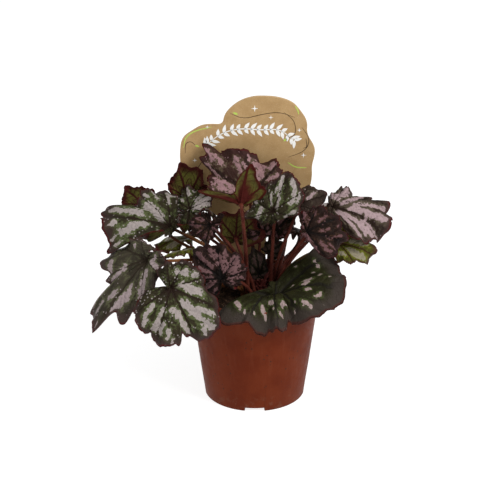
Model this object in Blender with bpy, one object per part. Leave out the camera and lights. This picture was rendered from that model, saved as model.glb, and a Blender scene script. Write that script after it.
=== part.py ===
"""A potted rex begonia with its display card: pot, potting soil, rhizome, card, and for every leaf
a stalk and a blade. Metres, +Z up. The origin is the middle of the pot's underside, and -Y is the
front, where the largest leaves hang over the rim."""

import math

import bmesh
import bpy
import numpy as np
from mathutils import Vector

# Pot
POT_HEIGHT = 0.105
RIM_RADIUS = 0.060
BASE_RADIUS = 0.0455
WALL = 0.0013
COLLAR_HEIGHT = 0.014
COLLAR_STEP = 0.0006
LIP = 0.0011
FOOT_HEIGHT = 0.0035
FOOT_WIDTH = 0.0032
FOOT_NOTCHES = 4
NOTCH_WIDTH = 0.0185
PAD_RADIUS = 0.008
DRAIN_HOLES = 8
DRAIN_RADIUS = 0.0035
DRAIN_CIRCLE = 0.030
DRAIN_SIDES = 10
POT_SIDES = 48
EDGE = 0.0006
LIP_DEPTH = 0.004

# Play between neighbouring pieces
GAP = 0.0003

# Potting soil
SOIL_LEVEL = 0.094
SOIL_DOME = 0.0020
SOIL_CRUMB = 0.0005
SOIL_SIDES = 32
SOIL_RINGS = 5
HOLE_SIDES = 6

# Rhizome, from which every stalk grows
CROWN = (0.005, 0.0)
RHIZOME_RADIUS = 0.0056
RHIZOME_FOOT = 0.083
RHIZOME_TOP = 0.110
RHIZOME_SIDES = 14
RHIZOME_RINGS = 12

# Stalks, whose feet stand in two rings round the rhizome
INNER = 0.0105
OUTER = 0.0160
STALK_DEPTH = 0.010
STALK_STRAIGHT = 0.003
STALK_POINTS = 11
STALK_TAPER = 0.62

# Blades
BLADE_THICKNESS = 0.0007
MAIN_VEINS = 9
EDGE_PLACES = 12

# Card. The outline runs from the tongue up the left side, over the two rounded tops and down the
# right side, as (across, height) points.
CARD_PLACE = 0.0445
CARD_THICKNESS = 0.001
CARD_MIDDLE = -0.0095
CARD_FOOT = 0.068
TONGUE_HALF_WIDTH = 0.0195
STAKE_HALF_WIDTH = 0.015
SHOULDER_LOW = 0.099
SHOULDER_HIGH = 0.104
CARD_OUTLINE = (
    (-0.0300, 0.1500), (-0.0480, 0.1660), (-0.0640, 0.1850), (-0.0675, 0.2060), (-0.0672, 0.2215),
    (-0.0645, 0.2310), (-0.0560, 0.2370), (-0.0478, 0.2421), (-0.0390, 0.2430), (-0.0288, 0.2424),
    (-0.0272, 0.2520), (-0.0205, 0.2600), (-0.0120, 0.2660), (-0.0020, 0.2692), (0.0065, 0.2697),
    (0.0200, 0.2690), (0.0335, 0.2645), (0.0405, 0.2565), (0.0476, 0.2455), (0.0466, 0.2335),
    (0.0540, 0.2220), (0.0545, 0.2140), (0.0515, 0.2025), (0.0522, 0.1930), (0.0500, 0.1800),
    (0.0350, 0.1620), (0.0110, 0.1500),
)  # fmt: skip


def leaf(name, joint, midrib, upper, length, foot, **shape):
    """One leaf. joint: where the stalk meets the blade. midrib: the way to the tip. upper: the way
    that the upper side faces. length: from stalk to tip. foot: distance and compass angle in degrees
    of the stalk's foot round the crown. shape: what differs from the plain leaf below."""
    plain = {
        "spread": 1.0,
        "skew": 0.2,
        "lobe": 0.05,
        "tip": 0.16,
        "notch": 0.42,
        "cup": 0.30,
        "sag": 0.28,
        "waves": 6,
        "ruffle": 0.08,
        "phase": 0.0,
        "droop": 0.5,
        "roll": 0.3,
        "edge": (1.0,) * EDGE_PLACES,
        "pulls": (),
        "thick": 0.0019,
        "rise": 0.6,
        "reach": 0.35,
        "rays": 28,
        "rings": 4,
    }
    plain.update(shape)
    plain.update(name=name, joint=joint, midrib=midrib, upper=upper, length=length, foot=foot)
    return plain


LEAVES = (
    leaf("left_upper", (-0.076, 0.001, 0.161), (-0.92, -0.20, 0.30), (-0.10, -0.60, 0.80), 0.063,
         (OUTER, 169), notch=0.7, rays=36, phase=0.4,
         edge=(0.65, 0.5, 0.4, 1.1, 0.95, 0.75, 0.88, 0.98, 0.5, 0.25, 0.2, 0.3),
         pulls=((-17, 9, 0.22, 0), (15, 9, 0.08, 0), (42, 9, -0.25, 0), (66, 18, 0, 0.15))),
    leaf("left_low", (-0.0930, -0.0440, 0.1495), (-0.58, -0.22, -0.78), (-0.45, -0.75, 0.45), 0.079,
         (INNER, 210), spread=0.72, notch=1.0, droop=0.2, rays=40, phase=1.0, rise=0.8,
         edge=(1, 0.9, 0.8, 0.95, 1.1, 0.73, 0.98, 0.62, 0.77, 0.45, 0.65, 1.05),
         pulls=((-45, 9, -0.22, 0), (-21, 8, 0.32, 0), (7, 5, -0.22, 0), (18, 5, 0.08, 0),
                (75, 9, -0.1, 0))),
    leaf("front_left", (-0.0735, -0.072, 0.1348), (0.92, -0.14, -0.36), (0.00, -0.85, 0.50), 0.059,
         (OUTER, 205), rise=0.35, rays=36, phase=2.0,
         edge=(0.4, 1.3, 1.45, 1.4, 1.25, 1.1, 0.77, 0.6, 0.65, 0.67, 0.62, 0.85),
         pulls=((-45, 8, -0.25, 0), (-106, 8, 0.12, 0), (-165, 8, -0.25, 0))),
    leaf("front_right", (0.0175, -0.037, 0.1055), (0.97, -0.12, 0.12), (-0.12, 0.00, 0.99), 0.065,
         (OUTER, 300), notch=0.5, cup=0.8, sag=0.9, droop=0.0, roll=0.0, rays=36, rings=5,
         ruffle=0.05, waves=8, edge=(0.6, 2.9, 1.27, 0.87, 0.64, 0.77, 0.9, 1.12, 1.0, 0.42, 0.4, 0.4),
         pulls=((-160, 18, 0, 0.25), (-132, 20, 0, 0.14), (-92, 22, 0, -0.14), (0, 25, 0, 0.18),
                (45, 32, 0, 0.40), (110, 40, 0, 0.15), (-45, 9, -0.2, 0))),
    leaf("centre_front", (-0.029, -0.040, 0.129), (-0.15, 0.20, 0.95), (-0.05, -0.85, 0.50), 0.034,
         (OUTER, 245), spread=1.05, rays=28, rings=3, phase=1.5,
         edge=(1, 1.3, 1.05, 1.15, 0.97, 0.85, 0.85, 1.2, 0.95, 0.8, 0.85, 1.4)),
    leaf("centre_small", (-0.039, -0.018, 0.171), (-0.25, -0.30, -0.80), (0.10, -0.80, 0.55), 0.027,
         (INNER, 242), spread=0.9, rays=24, rings=3,
         edge=(1.5, 1.5, 1.3, 1.35, 1.1, 0.6, 0.65, 0.5, 0.4, 0.45, 0.7, 1.4)),
    leaf("left_inner", (-0.058, 0.015, 0.1715), (0.85, 0.10, 0.40), (-0.10, -0.60, 0.80), 0.034,
         (INNER, 180), notch=0.8, reach=0.2, rays=28, rings=3,
         edge=(1.1, 1.0, 0.8, 0.6, 0.3, 0.4, 0.6, 0.75, 0.9, 1.1, 1.2, 1.2)),
    leaf("left_standing", (-0.060, 0.037, 0.172), (-0.25, 0.00, 0.95), (-0.10, 0.95, 0.10), 0.036,
         (OUTER, 133), spread=0.85, cup=0.2, sag=0.2, ruffle=0.05, reach=0.15, rays=24, rings=3,
         edge=(1, 1, 0.9, 0.8, 0.75, 0.87, 1.05, 1.25, 0.95, 0.8, 0.8, 0.9)),
    leaf("top_centre", (-0.004, 0.014, 0.187), (-0.10, 0.25, 0.90), (0.00, -0.80, 0.55), 0.041,
         (INNER, 120), spread=1.4, ruffle=0.12, rays=40, phase=0.8,
         edge=(0.5, 0.5, 0.6, 0.6, 0.95, 0.87, 0.85, 1.15, 0.98, 0.5, 0.3, 0.35),
         pulls=((25, 7, 0.42, 0), (36, 5, 0.25, 0), (46, 6, -0.1, 0), (17, 4, -0.15, 0),
                (10, 6, 0.1, 0), (28, 14, 0, 0.15))),
    leaf("star", (-0.012, -0.030, 0.195), (0.15, 0.10, 0.98), (0.00, 0.95, 0.30), 0.036,
         (OUTER, 225), thick=0.0022, reach=0.08, tip=0.5, notch=0.9, cup=0.32, waves=3, ruffle=0.05,
         rays=36, rings=3, edge=(1, 1, 0.7, 0.55, 0.8, 0.6, 1.03, 1.0, 0.7, 0.5, 0.6, 1),
         pulls=((53, 11, 0.8, 0), (-77, 11, 3.0, 0))),
    leaf("right_centre", (0.0155, -0.006, 0.179), (0.35, 0.10, 0.90), (0.00, -0.85, 0.50), 0.043,
         (INNER, 330), spread=0.8, rays=28, rings=4, phase=2.2,
         edge=(1.3, 0.9, 0.6, 0.9, 1.1, 0.95, 0.85, 0.75, 0.62, 0.82, 1.0, 0.95)),
    leaf("right_top", (0.069, 0.006, 0.1775), (0.90, -0.25, -0.20), (0.00, -0.55, 0.83), 0.056,
         (OUTER, 7), notch=0.8, rays=36,
         edge=(0.5, 0.5, 0.4, 0.4, 0.5, 0.85, 0.92, 1.14, 0.6, 0.63, 0.5, 0.4),
         pulls=((45, 8, -0.15, 0),)),
    leaf("right_small", (0.038, 0.004, 0.180), (0.75, 0.10, 0.35), (0.00, -0.70, 0.70), 0.020,
         (INNER, 10), reach=0.15, rays=24, rings=3,
         edge=(0.8, 0.8, 0.8, 0.8, 0.9, 1.1, 1.4, 1.45, 1.2, 0.9, 0.8, 0.8)),
    leaf("right_dark", (0.045, -0.030, 0.1695), (0.90, -0.20, -0.15), (0.10, -0.85, 0.50), 0.039,
         (OUTER, 331), rays=28, rings=3,
         edge=(0.4, 0.3, 0.3, 0.25, 0.4, 0.95, 0.85, 0.95, 0.92, 0.85, 0.8, 0.4)),
    leaf("right_low", (0.074, -0.002, 0.147), (0.85, -0.10, -0.20), (0.10, -0.70, 0.70), 0.041,
         (OUTER, 349), rise=0.9, reach=0.1, rays=24, rings=3,
         edge=(0.6, 0.5, 0.5, 0.6, 0.68, 0.65, 0.8, 0.85, 0.72, 0.65, 0.35, 0.35),
         pulls=((-17, 9, 0.18, 0),)),
    leaf("centre_back", (-0.017, 0.010, 0.1455), (0.05, 0.20, 0.95), (0.00, 0.97, 0.15), 0.026,
         (INNER, 150), rays=24, rings=3,
         edge=(0.7, 0.5, 0.7, 0.9, 1.0, 1.3, 1.0, 1.0, 0.5, 0.4, 0.4, 0.5)),
    leaf("right_under", (0.026, 0.028, 0.149), (0.20, -0.50, 0.60), (0.00, -0.50, 0.85), 0.020,
         (OUTER, 25), reach=0.15, rays=20, rings=3),
    leaf("young", (0.004, 0.005, 0.113), (-0.10, 0.00, 1.00), (0.30, -0.90, 0.20), 0.018,
         (INNER, 85), spread=0.6, rays=20, rings=3),
    leaf("left_far", (-0.100, 0.036, 0.167), (-0.50, 0.10, 0.50), (-0.30, 0.90, 0.40), 0.024,
         (OUTER, 151), rays=20, rings=3),
    leaf("left_under", (-0.058, -0.004, 0.139), (-0.90, -0.20, 0.10), (0.00, 0.60, 0.80), 0.020,
         (OUTER, 187), rays=20, rings=3),
    leaf("back_left", (-0.054, 0.060, 0.150), (-0.70, 0.60, 0.00), (-0.30, 0.30, 0.90), 0.048,
         (OUTER, 97), rays=24, rings=3),
    leaf("back_left_low", (-0.060, 0.062, 0.122), (-0.50, 0.80, -0.20), (-0.20, 0.20, 0.95), 0.044,
         (OUTER, 115), rise=0.9, rays=24, rings=3),
    leaf("back_centre", (0.022, 0.090, 0.150), (-0.75, 0.65, 0.05), (0.00, 0.20, 0.95), 0.050,
         (OUTER, 61), notch=0.8, rays=24, rings=3),
    leaf("back_high", (0.018, 0.068, 0.176), (0.10, 0.95, 0.20), (0.10, 0.40, 0.90), 0.040,
         (INNER, 50), reach=0.15, rays=24, rings=3),
    leaf("back_right", (0.056, 0.052, 0.152), (0.65, 0.70, 0.00), (0.30, 0.30, 0.90), 0.046,
         (OUTER, 43), rays=24, rings=3),
    leaf("back_right_low", (0.042, 0.068, 0.124), (0.60, 0.75, -0.20), (0.20, 0.20, 0.95), 0.046,
         (OUTER, 79), notch=0.8, rays=24, rings=3),
)


def unit(vector):
    return np.asarray(vector, float) / np.linalg.norm(vector)


def apart(angle, degrees):
    """The angle from a direction given in degrees, the short way round, in degrees."""
    return np.degrees(np.angle(np.exp(1j * (angle - math.radians(degrees)))))


def margin_reach(shape, angle):
    """Distance from the stalk to the edge, at an angle from the midrib: a heart with its notch behind
    the stalk, one basal lobe larger than the other, a shallow lobe at the end of each main vein, and
    the leaf's own growth, edge, as factors at even steps all round, from straight behind the stalk."""
    heart = 0.84 - shape["tip"] - 0.08 + 0.24 * np.cos(angle) + shape["tip"] * np.cos(angle / 2) ** 24
    notch = 1 - 0.75 * np.exp(-(((np.pi - np.abs(angle)) / shape["notch"]) ** 2))
    skew = 1 + shape["skew"] * np.sin(angle) * (1 - np.cos(angle)) / 2
    lobes = 1 + shape["lobe"] * np.cos(MAIN_VEINS * angle)
    step = 360 / EDGE_PLACES
    growth = pulled(shape, angle, 2)
    for place, factor in enumerate(shape["edge"]):
        near = np.minimum(np.abs(apart(angle, -180 + step * place)) / step, 1)
        growth = growth + factor * (1 + np.cos(np.pi * near)) / 2
    return shape["length"] * heart * notch * skew * lobes * growth


def pulled(shape, angle, column):
    """The leaf's own pulls at an angle: smooth bumps round the edge, each a place and a half width in
    degrees, a change of growth (column 2), and a lift (column 3) as a share of the length."""
    total = np.zeros_like(angle)
    for pull in shape["pulls"]:
        total = total + pull[column] * np.exp(-((apart(angle, pull[0]) / pull[1]) ** 2))
    return total


def bent(along, height, curl):
    """A sheet rolled downward with an even curl, in radians a metre, its lengths kept."""
    turn = curl * along
    forward = along * np.sinc(turn / np.pi) + height * np.sin(turn)
    down = along * turn / 2 * np.sinc(turn / 2 / np.pi) ** 2
    return forward, height * np.cos(turn) - down


def blade_points(shape, share, angle):
    """The blade's middle surface. share runs from 0 at the stalk to 1 at the edge, and angle goes
    round the stalk from the midrib. The blade rises from the stalk as a funnel, sags again towards
    the edge, and ruffles more and more outwards; then it droops along the midrib and rolls across."""
    length = shape["length"]
    reach = margin_reach(shape, angle)
    along = share * reach * np.cos(angle)
    across = share * reach * np.sin(angle) * shape["spread"]
    wave = np.sin(shape["waves"] * angle + shape["phase"] + 0.7 * np.sin(2 * angle + shape["phase"]))
    height = length * (
        shape["cup"] * share
        - shape["sag"] * share**2
        + shape["ruffle"] * share**2.2 * wave
        + pulled(shape, angle, 3) * share**2.5
    )
    across, height = bent(across, height, shape["roll"] / length)
    along, height = bent(along, height, shape["droop"] / length)
    ahead = unit(shape["midrib"])
    left = unit(np.cross(shape["upper"], ahead))
    up = np.cross(ahead, left)
    place = [along[..., None] * ahead, across[..., None] * left, height[..., None] * up]
    return np.asarray(shape["joint"]) + sum(place)


def blade_up(shape):
    """The way that the upper side faces at the stalk."""
    ahead = unit(shape["midrib"])
    return np.cross(ahead, unit(np.cross(shape["upper"], ahead)))


def fan_faces(rays, rings):
    """Triangles of a polar grid: a fan round the middle point, then two for every cell."""
    faces = []
    for ray in range(rays):
        after = (ray + 1) % rays
        faces.append((0, 1 + ray, 1 + after))
        for ring in range(rings - 1):
            inner, outer = 1 + ring * rays, 1 + (ring + 1) * rays
            faces.append((inner + ray, outer + ray, outer + after))
            faces.append((inner + ray, outer + after, inner + after))
    return faces


def material(name, colour, roughness):
    made = bpy.data.materials.new(name)
    made.use_nodes = True
    shader = made.node_tree.nodes["Principled BSDF"]
    shader.inputs["Base Color"].default_value = (*colour, 1)
    shader.inputs["Roughness"].default_value = roughness
    return made


def add_object(name, data, finish):
    data.materials.append(finish)
    made = bpy.data.objects.new(name, data)
    bpy.context.scene.collection.objects.link(made)
    return made


def smooth(mesh):
    mesh.shade_smooth()
    mesh.set_sharp_from_angle(angle=math.radians(40))


def add_blade(shape, finish):
    """A leaf's blade: its middle surface, thickened the same on both sides."""
    rays, rings = shape["rays"], shape["rings"]
    angle = (np.arange(rays) + 0.5) / rays * 2 * np.pi - np.pi
    share = (np.arange(rings) + 1) / rings
    grid = blade_points(shape, share[:, None], np.broadcast_to(angle, (rings, rays)))
    points = np.vstack([[shape["joint"]], grid.reshape(-1, 3)])
    mesh = bpy.data.meshes.new("blade_" + shape["name"])
    mesh.from_pydata(points.tolist(), [], fan_faces(rays, rings))
    smooth(mesh)
    made = add_object("blade_" + shape["name"], mesh, finish)
    wall = made.modifiers.new("Thickness", "SOLIDIFY")
    wall.thickness = BLADE_THICKNESS
    wall.offset = 0
    return made


def foot_place(shape):
    distance, compass = shape["foot"]
    turn = math.radians(compass)
    return np.array([CROWN[0] + distance * math.cos(turn), CROWN[1] + distance * math.sin(turn)])


def stalk_points(shape):
    """The stalk's middle line: straight up out of the soil, then one smooth curve that meets the
    blade square on from below."""
    up = blade_up(shape)
    foot = np.array([*foot_place(shape), SOIL_LEVEL - STALK_DEPTH])
    start = foot + [0, 0, STALK_DEPTH + STALK_STRAIGHT]
    joint = np.asarray(shape["joint"])
    slant = np.linalg.norm(np.cross(unit(joint - start), up)) * (1 - min(shape["reach"] * 4, 1))
    end = joint - up * (BLADE_THICKNESS / 2 + GAP * 1.5 + shape["thick"] * STALK_TAPER * slant)
    span = np.linalg.norm(end - start)
    leave = start + np.array([0, 0, 1]) * shape["rise"] * span * 0.6
    meet = end - up * shape["reach"] * span
    t = np.linspace(0, 1, STALK_POINTS)[:, None]
    curve = (
        (1 - t) ** 3 * start + 3 * (1 - t) ** 2 * t * leave + 3 * (1 - t) * t**2 * meet + t**3 * end
    )
    return np.vstack([foot, curve])


def add_stalk(shape, finish):
    points = stalk_points(shape)
    curve = bpy.data.curves.new("stalk_" + shape["name"], "CURVE")
    curve.dimensions = "3D"
    curve.bevel_depth = shape["thick"]
    curve.bevel_resolution = 1
    curve.use_fill_caps = True
    spline = curve.splines.new("POLY")
    spline.points.add(len(points) - 1)
    last = len(points) - 1
    for index, point in enumerate(points):
        spline.points[index].co = (*point, 1)
        spline.points[index].radius = 1 - (1 - STALK_TAPER) * index / last
    return add_object("stalk_" + shape["name"], curve, finish)


def lathe(name, profile, sides, finish):
    """A turned solid: the closed outline of (radius, height) points, from the axis at the bottom
    round to the axis at the top, spun round Z."""
    shell = bmesh.new()
    points = [shell.verts.new((radius, 0, height)) for radius, height in profile]
    edges = [shell.edges.new(pair) for pair in zip(points, points[1:])]
    bmesh.ops.spin(
        shell,
        geom=points + edges,
        axis=(0, 0, 1),
        cent=(0, 0, 0),
        angle=2 * math.pi,
        steps=sides,
        use_merge=True,
    )
    bmesh.ops.remove_doubles(shell, verts=shell.verts, dist=1e-6)
    bmesh.ops.recalc_face_normals(shell, faces=shell.faces)
    mesh = bpy.data.meshes.new(name)
    shell.to_mesh(mesh)
    shell.free()
    smooth(mesh)
    return add_object(name, mesh, finish)


def cutter_from(name, build):
    """A helper solid for a Boolean, hidden from the finished part. build fills its bmesh."""
    solid = bmesh.new()
    build(solid)
    mesh = bpy.data.meshes.new(name)
    solid.to_mesh(mesh)
    solid.free()
    made = bpy.data.objects.new(name, mesh)
    bpy.context.scene.collection.objects.link(made)
    made.hide_render = True
    made.display_type = "WIRE"
    return made


def cut(target, cutter):
    difference = target.modifiers.new("Cut " + cutter.name, "BOOLEAN")
    difference.operation = "DIFFERENCE"
    difference.object = cutter


def cylinder(solid, x, y, low, high, radius, sides):
    made = bmesh.ops.create_cone(
        solid, cap_ends=True, segments=sides, radius1=radius, radius2=radius, depth=high - low
    )
    bmesh.ops.translate(solid, verts=made["verts"], vec=(x, y, (low + high) / 2))


def box(solid, low, high, turn=0.0):
    made = bmesh.ops.create_cube(solid, size=1)
    middle = (Vector(low) + Vector(high)) / 2
    size = Vector(high) - Vector(low)
    bmesh.ops.scale(solid, verts=made["verts"], vec=size)
    bmesh.ops.translate(solid, verts=made["verts"], vec=middle)
    spin = [math.cos(turn), math.sin(turn)]
    for vert in made["verts"]:
        x, y = vert.co.x, vert.co.y
        vert.co.x, vert.co.y = x * spin[0] - y * spin[1], x * spin[1] + y * spin[0]


def wall_radius(height):
    """The pot wall's outer radius below the collar, at a height."""
    return BASE_RADIUS + (RIM_RADIUS - COLLAR_STEP - BASE_RADIUS) * height / POT_HEIGHT


def add_pot(finish):
    """A thin plastic pot: a foot ring and a middle pad to stand on, a raised bottom with drain holes,
    a tapered wall and a collar with a thick lip."""
    collar = POT_HEIGHT - COLLAR_HEIGHT
    floor = FOOT_HEIGHT + WALL
    foot = BASE_RADIUS - FOOT_WIDTH
    mouth = RIM_RADIUS - WALL - LIP
    below_lip = POT_HEIGHT - LIP_DEPTH
    profile = [
        (0, 0),
        (PAD_RADIUS, 0),
        (PAD_RADIUS, FOOT_HEIGHT),
        (foot, FOOT_HEIGHT),
        (foot, 0),
        (BASE_RADIUS - EDGE * 2, 0),
        (BASE_RADIUS - EDGE / 2, EDGE),
        (wall_radius(EDGE * 3), EDGE * 3),
        (wall_radius(collar), collar),
        (wall_radius(collar) + COLLAR_STEP, collar + EDGE),
        (RIM_RADIUS - EDGE / 2, POT_HEIGHT - EDGE),
        (RIM_RADIUS - EDGE * 3 / 2, POT_HEIGHT),
        (mouth + EDGE, POT_HEIGHT),
        (mouth, POT_HEIGHT - EDGE),
        (wall_radius(below_lip) - WALL, below_lip),
        (wall_radius(floor) - WALL, floor),
        (0, floor),
    ]
    pot = lathe("pot", profile, POT_SIDES, finish)

    def notches(solid):
        half = NOTCH_WIDTH / 2
        for index in range(FOOT_NOTCHES):
            turn = math.radians(-90 + 360 * index / FOOT_NOTCHES)
            low = (foot - FOOT_WIDTH, -half, -FOOT_HEIGHT)
            box(solid, low, (BASE_RADIUS + FOOT_WIDTH, half, FOOT_HEIGHT - EDGE / 6), turn)

    def drains(solid):
        for index in range(DRAIN_HOLES):
            turn = 2 * math.pi * (index + 0.5) / DRAIN_HOLES
            x, y = DRAIN_CIRCLE * math.cos(turn), DRAIN_CIRCLE * math.sin(turn)
            cylinder(solid, x, y, -FOOT_HEIGHT, floor + FOOT_HEIGHT, DRAIN_RADIUS, DRAIN_SIDES)

    cut(pot, cutter_from("pot_notch_cutter", notches))
    cut(pot, cutter_from("pot_drain_cutter", drains))
    return pot


def soil_top(radius, angle):
    """Height of the soil: a low dome, uneven with crumbs except at the middle."""
    dome = SOIL_LEVEL + SOIL_DOME * (1 - (radius / RIM_RADIUS) ** 2)
    crumbs = np.sin(5 * angle + 90 * radius) + np.sin(11 * angle - 260 * radius + 1.3)
    return dome + SOIL_CRUMB * crumbs * np.minimum(radius * 3 / RIM_RADIUS, 1)


def rhizome_radius(share, angle):
    """The rhizome's radius round its height, knobbly with old leaf scars and blunt at the top. share
    runs from 0 at the foot to 1 at the top."""
    scars = 1 + 0.10 * np.sin(5 * angle + 9 * share) + 0.05 * np.sin(24 * share)
    return RHIZOME_RADIUS * np.sqrt(np.maximum(1 - share**3, 0.02)) * scars


def add_soil(finish):
    """Potting soil that fills the pot, with a plain hole for every stalk, for the rhizome and for the
    card's stake."""
    floor = FOOT_HEIGHT + WALL + GAP
    angle = np.arange(SOIL_SIDES) / SOIL_SIDES * 2 * np.pi
    edge = wall_radius(SOIL_LEVEL) - WALL - GAP * 2
    bottom = wall_radius(floor) - WALL - GAP * 2
    radius = edge * (np.arange(SOIL_RINGS)[:, None] + 1) / SOIL_RINGS
    radius = np.vstack([np.broadcast_to(radius, (SOIL_RINGS, SOIL_SIDES)), np.full(SOIL_SIDES, bottom)])
    height = soil_top(radius, angle)
    height[-1] = floor
    rings = np.stack([radius * np.cos(angle), radius * np.sin(angle), height], axis=-1)
    points = np.vstack([[(0, 0, SOIL_LEVEL + SOIL_DOME)], rings.reshape(-1, 3)])
    last = 1 + SOIL_RINGS * SOIL_SIDES
    faces = fan_faces(SOIL_SIDES, SOIL_RINGS + 1)
    faces.append(tuple(last + side for side in reversed(range(SOIL_SIDES))))
    mesh = bpy.data.meshes.new("soil")
    mesh.from_pydata(points.tolist(), [], faces)
    smooth(mesh)
    soil = add_object("soil", mesh, finish)

    def holes(solid):
        for shape in LEAVES:
            x, y = foot_place(shape)
            low = SOIL_LEVEL - STALK_DEPTH - GAP
            cylinder(solid, x, y, low, POT_HEIGHT, shape["thick"] + GAP * 2, HOLE_SIDES)
        width = RHIZOME_RADIUS * 1.15 + GAP
        cylinder(solid, *CROWN, RHIZOME_FOOT - GAP, POT_HEIGHT, width, RHIZOME_SIDES)
        half = STAKE_HALF_WIDTH + GAP
        front, back = CARD_PLACE - GAP, CARD_PLACE + CARD_THICKNESS + GAP
        low = (CARD_MIDDLE - half, front, CARD_FOOT - GAP)
        box(solid, low, (CARD_MIDDLE + half, back, POT_HEIGHT))

    cut(soil, cutter_from("soil_hole_cutter", holes))
    return soil


def add_rhizome(finish):
    """The short knobbly rhizome, which stands a little way out of the soil."""
    share = np.linspace(0, 1, RHIZOME_RINGS)[:, None]
    angle = np.arange(RHIZOME_SIDES) / RHIZOME_SIDES * 2 * np.pi
    radius = rhizome_radius(share, angle)
    height = RHIZOME_FOOT + (RHIZOME_TOP - RHIZOME_FOOT) * share + 0 * angle
    rings = [CROWN[0] + radius * np.cos(angle), CROWN[1] + radius * np.sin(angle), height]
    points = [(*CROWN, RHIZOME_FOOT), *np.stack(rings, -1).reshape(-1, 3).tolist()]
    points.append((*CROWN, RHIZOME_TOP + EDGE))
    last, top = 1 + (RHIZOME_RINGS - 1) * RHIZOME_SIDES, len(points) - 1
    faces = [face[::-1] for face in fan_faces(RHIZOME_SIDES, RHIZOME_RINGS)]
    for side in range(RHIZOME_SIDES):
        faces.append((last + side, last + (side + 1) % RHIZOME_SIDES, top))
    mesh = bpy.data.meshes.new("rhizome")
    mesh.from_pydata(points, [], faces)
    smooth(mesh)
    return add_object("rhizome", mesh, finish)


def add_card(finish):
    """The die-cut kraft board card, whose tongue narrows to a stake that stands in the soil."""
    left, right = CARD_MIDDLE - TONGUE_HALF_WIDTH, CARD_MIDDLE + TONGUE_HALF_WIDTH
    stake_left, stake_right = CARD_MIDDLE - STAKE_HALF_WIDTH, CARD_MIDDLE + STAKE_HALF_WIDTH
    outline = [
        *CARD_OUTLINE,
        (right, SHOULDER_HIGH),
        (stake_right, SHOULDER_LOW),
        (stake_right, CARD_FOOT),
        (stake_left, CARD_FOOT),
        (stake_left, SHOULDER_LOW),
        (left, SHOULDER_HIGH),
    ]
    sheet = bmesh.new()
    front = [sheet.verts.new((x, CARD_PLACE, z)) for x, z in outline]
    face = sheet.faces.new(front)
    made = bmesh.ops.extrude_face_region(sheet, geom=[face])
    moved = [item for item in made["geom"] if isinstance(item, bmesh.types.BMVert)]
    bmesh.ops.translate(sheet, verts=moved, vec=(0, CARD_THICKNESS, 0))
    bmesh.ops.recalc_face_normals(sheet, faces=sheet.faces)
    mesh = bpy.data.meshes.new("card")
    sheet.to_mesh(mesh)
    sheet.free()
    return add_object("card", mesh, finish)


def main():
    for old in list(bpy.data.objects):
        bpy.data.objects.remove(old, do_unlink=True)
    terracotta = material("terracotta plastic", (0.30, 0.085, 0.035), 0.45)
    peat = material("peat", (0.018, 0.012, 0.008), 0.95)
    bark = material("rhizome skin", (0.10, 0.03, 0.02), 0.8)
    kraft = material("kraft board", (0.45, 0.29, 0.15), 0.85)
    red_stalk = material("red stalk", (0.12, 0.025, 0.02), 0.5)
    green_blade = material("leaf blade", (0.05, 0.07, 0.04), 0.45)
    add_pot(terracotta)
    add_soil(peat)
    add_rhizome(bark)
    add_card(kraft)
    for shape in LEAVES:
        add_stalk(shape, red_stalk)
        add_blade(shape, green_blade)


main()
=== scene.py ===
"""The looks of a potted rex begonia with its display card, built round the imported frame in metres,
+Z up: a plastic pot, crumbly soil, a hairy rhizome, stalks, fine leaf blades and a printed card."""

import math

import bpy
import numpy as np
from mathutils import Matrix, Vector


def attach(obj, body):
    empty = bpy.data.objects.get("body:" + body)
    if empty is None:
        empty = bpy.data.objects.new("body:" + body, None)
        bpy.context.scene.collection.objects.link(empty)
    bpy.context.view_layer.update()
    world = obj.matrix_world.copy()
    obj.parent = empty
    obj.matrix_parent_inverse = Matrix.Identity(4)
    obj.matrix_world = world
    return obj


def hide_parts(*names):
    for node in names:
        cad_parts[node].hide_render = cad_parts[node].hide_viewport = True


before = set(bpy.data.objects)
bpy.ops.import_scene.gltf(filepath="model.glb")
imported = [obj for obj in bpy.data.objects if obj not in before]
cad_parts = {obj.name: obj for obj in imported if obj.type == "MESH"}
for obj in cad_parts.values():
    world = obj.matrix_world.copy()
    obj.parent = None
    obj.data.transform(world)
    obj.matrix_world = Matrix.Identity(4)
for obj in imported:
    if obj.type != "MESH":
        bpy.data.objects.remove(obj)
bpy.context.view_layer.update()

# Camera. It looks down on the plant from in front with a long lens, as a product photographer's
# does, so that the rim and the base of the pot keep almost the same width.
AIM = np.array([-0.0042, 0.0, 0.1392])
CAMERA_DISTANCE = 1.8
LOOK_DOWN = math.radians(23.5)
camera = bpy.data.objects.new("camera", bpy.data.cameras.new("camera"))
camera.data.lens = 144.7
camera.data.sensor_width = 36
camera.data.clip_start = 0.1
camera.location = AIM + CAMERA_DISTANCE * np.array([0, -math.cos(LOOK_DOWN), math.sin(LOOK_DOWN)])
camera.rotation_euler = (math.pi / 2 - LOOK_DOWN, 0, 0)
bpy.context.scene.collection.objects.link(camera)
bpy.context.scene.camera = camera


# Floor and light. A plain white floor, lit a little from below, that runs out of view on all sides
# in a plain pale room, with large soft lights in front: a strong one at the upper right and a weak
# one at the left. Colours are shown as they are.
FLOOR = 6.0
PLANT_MIDDLE = 0.15


def put(socket, value):
    """Links a socket, or sets a number or a colour on it."""
    if isinstance(value, bpy.types.NodeSocket):
        socket.id_data.links.new(value, socket)
    elif isinstance(value, tuple) and len(socket.default_value) == 4:
        socket.default_value = (*value, 1)
    else:
        socket.default_value = value


def finish(name, colour, roughness, specular):
    """A new material with a plain colour, and its shader."""
    made = bpy.data.materials.new(name)
    made.use_nodes = True
    shader = made.node_tree.nodes["Principled BSDF"]
    put(shader.inputs["Base Color"], colour)
    put(shader.inputs["Roughness"], roughness)
    put(shader.inputs["Specular IOR Level"], specular)
    return made, shader


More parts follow.
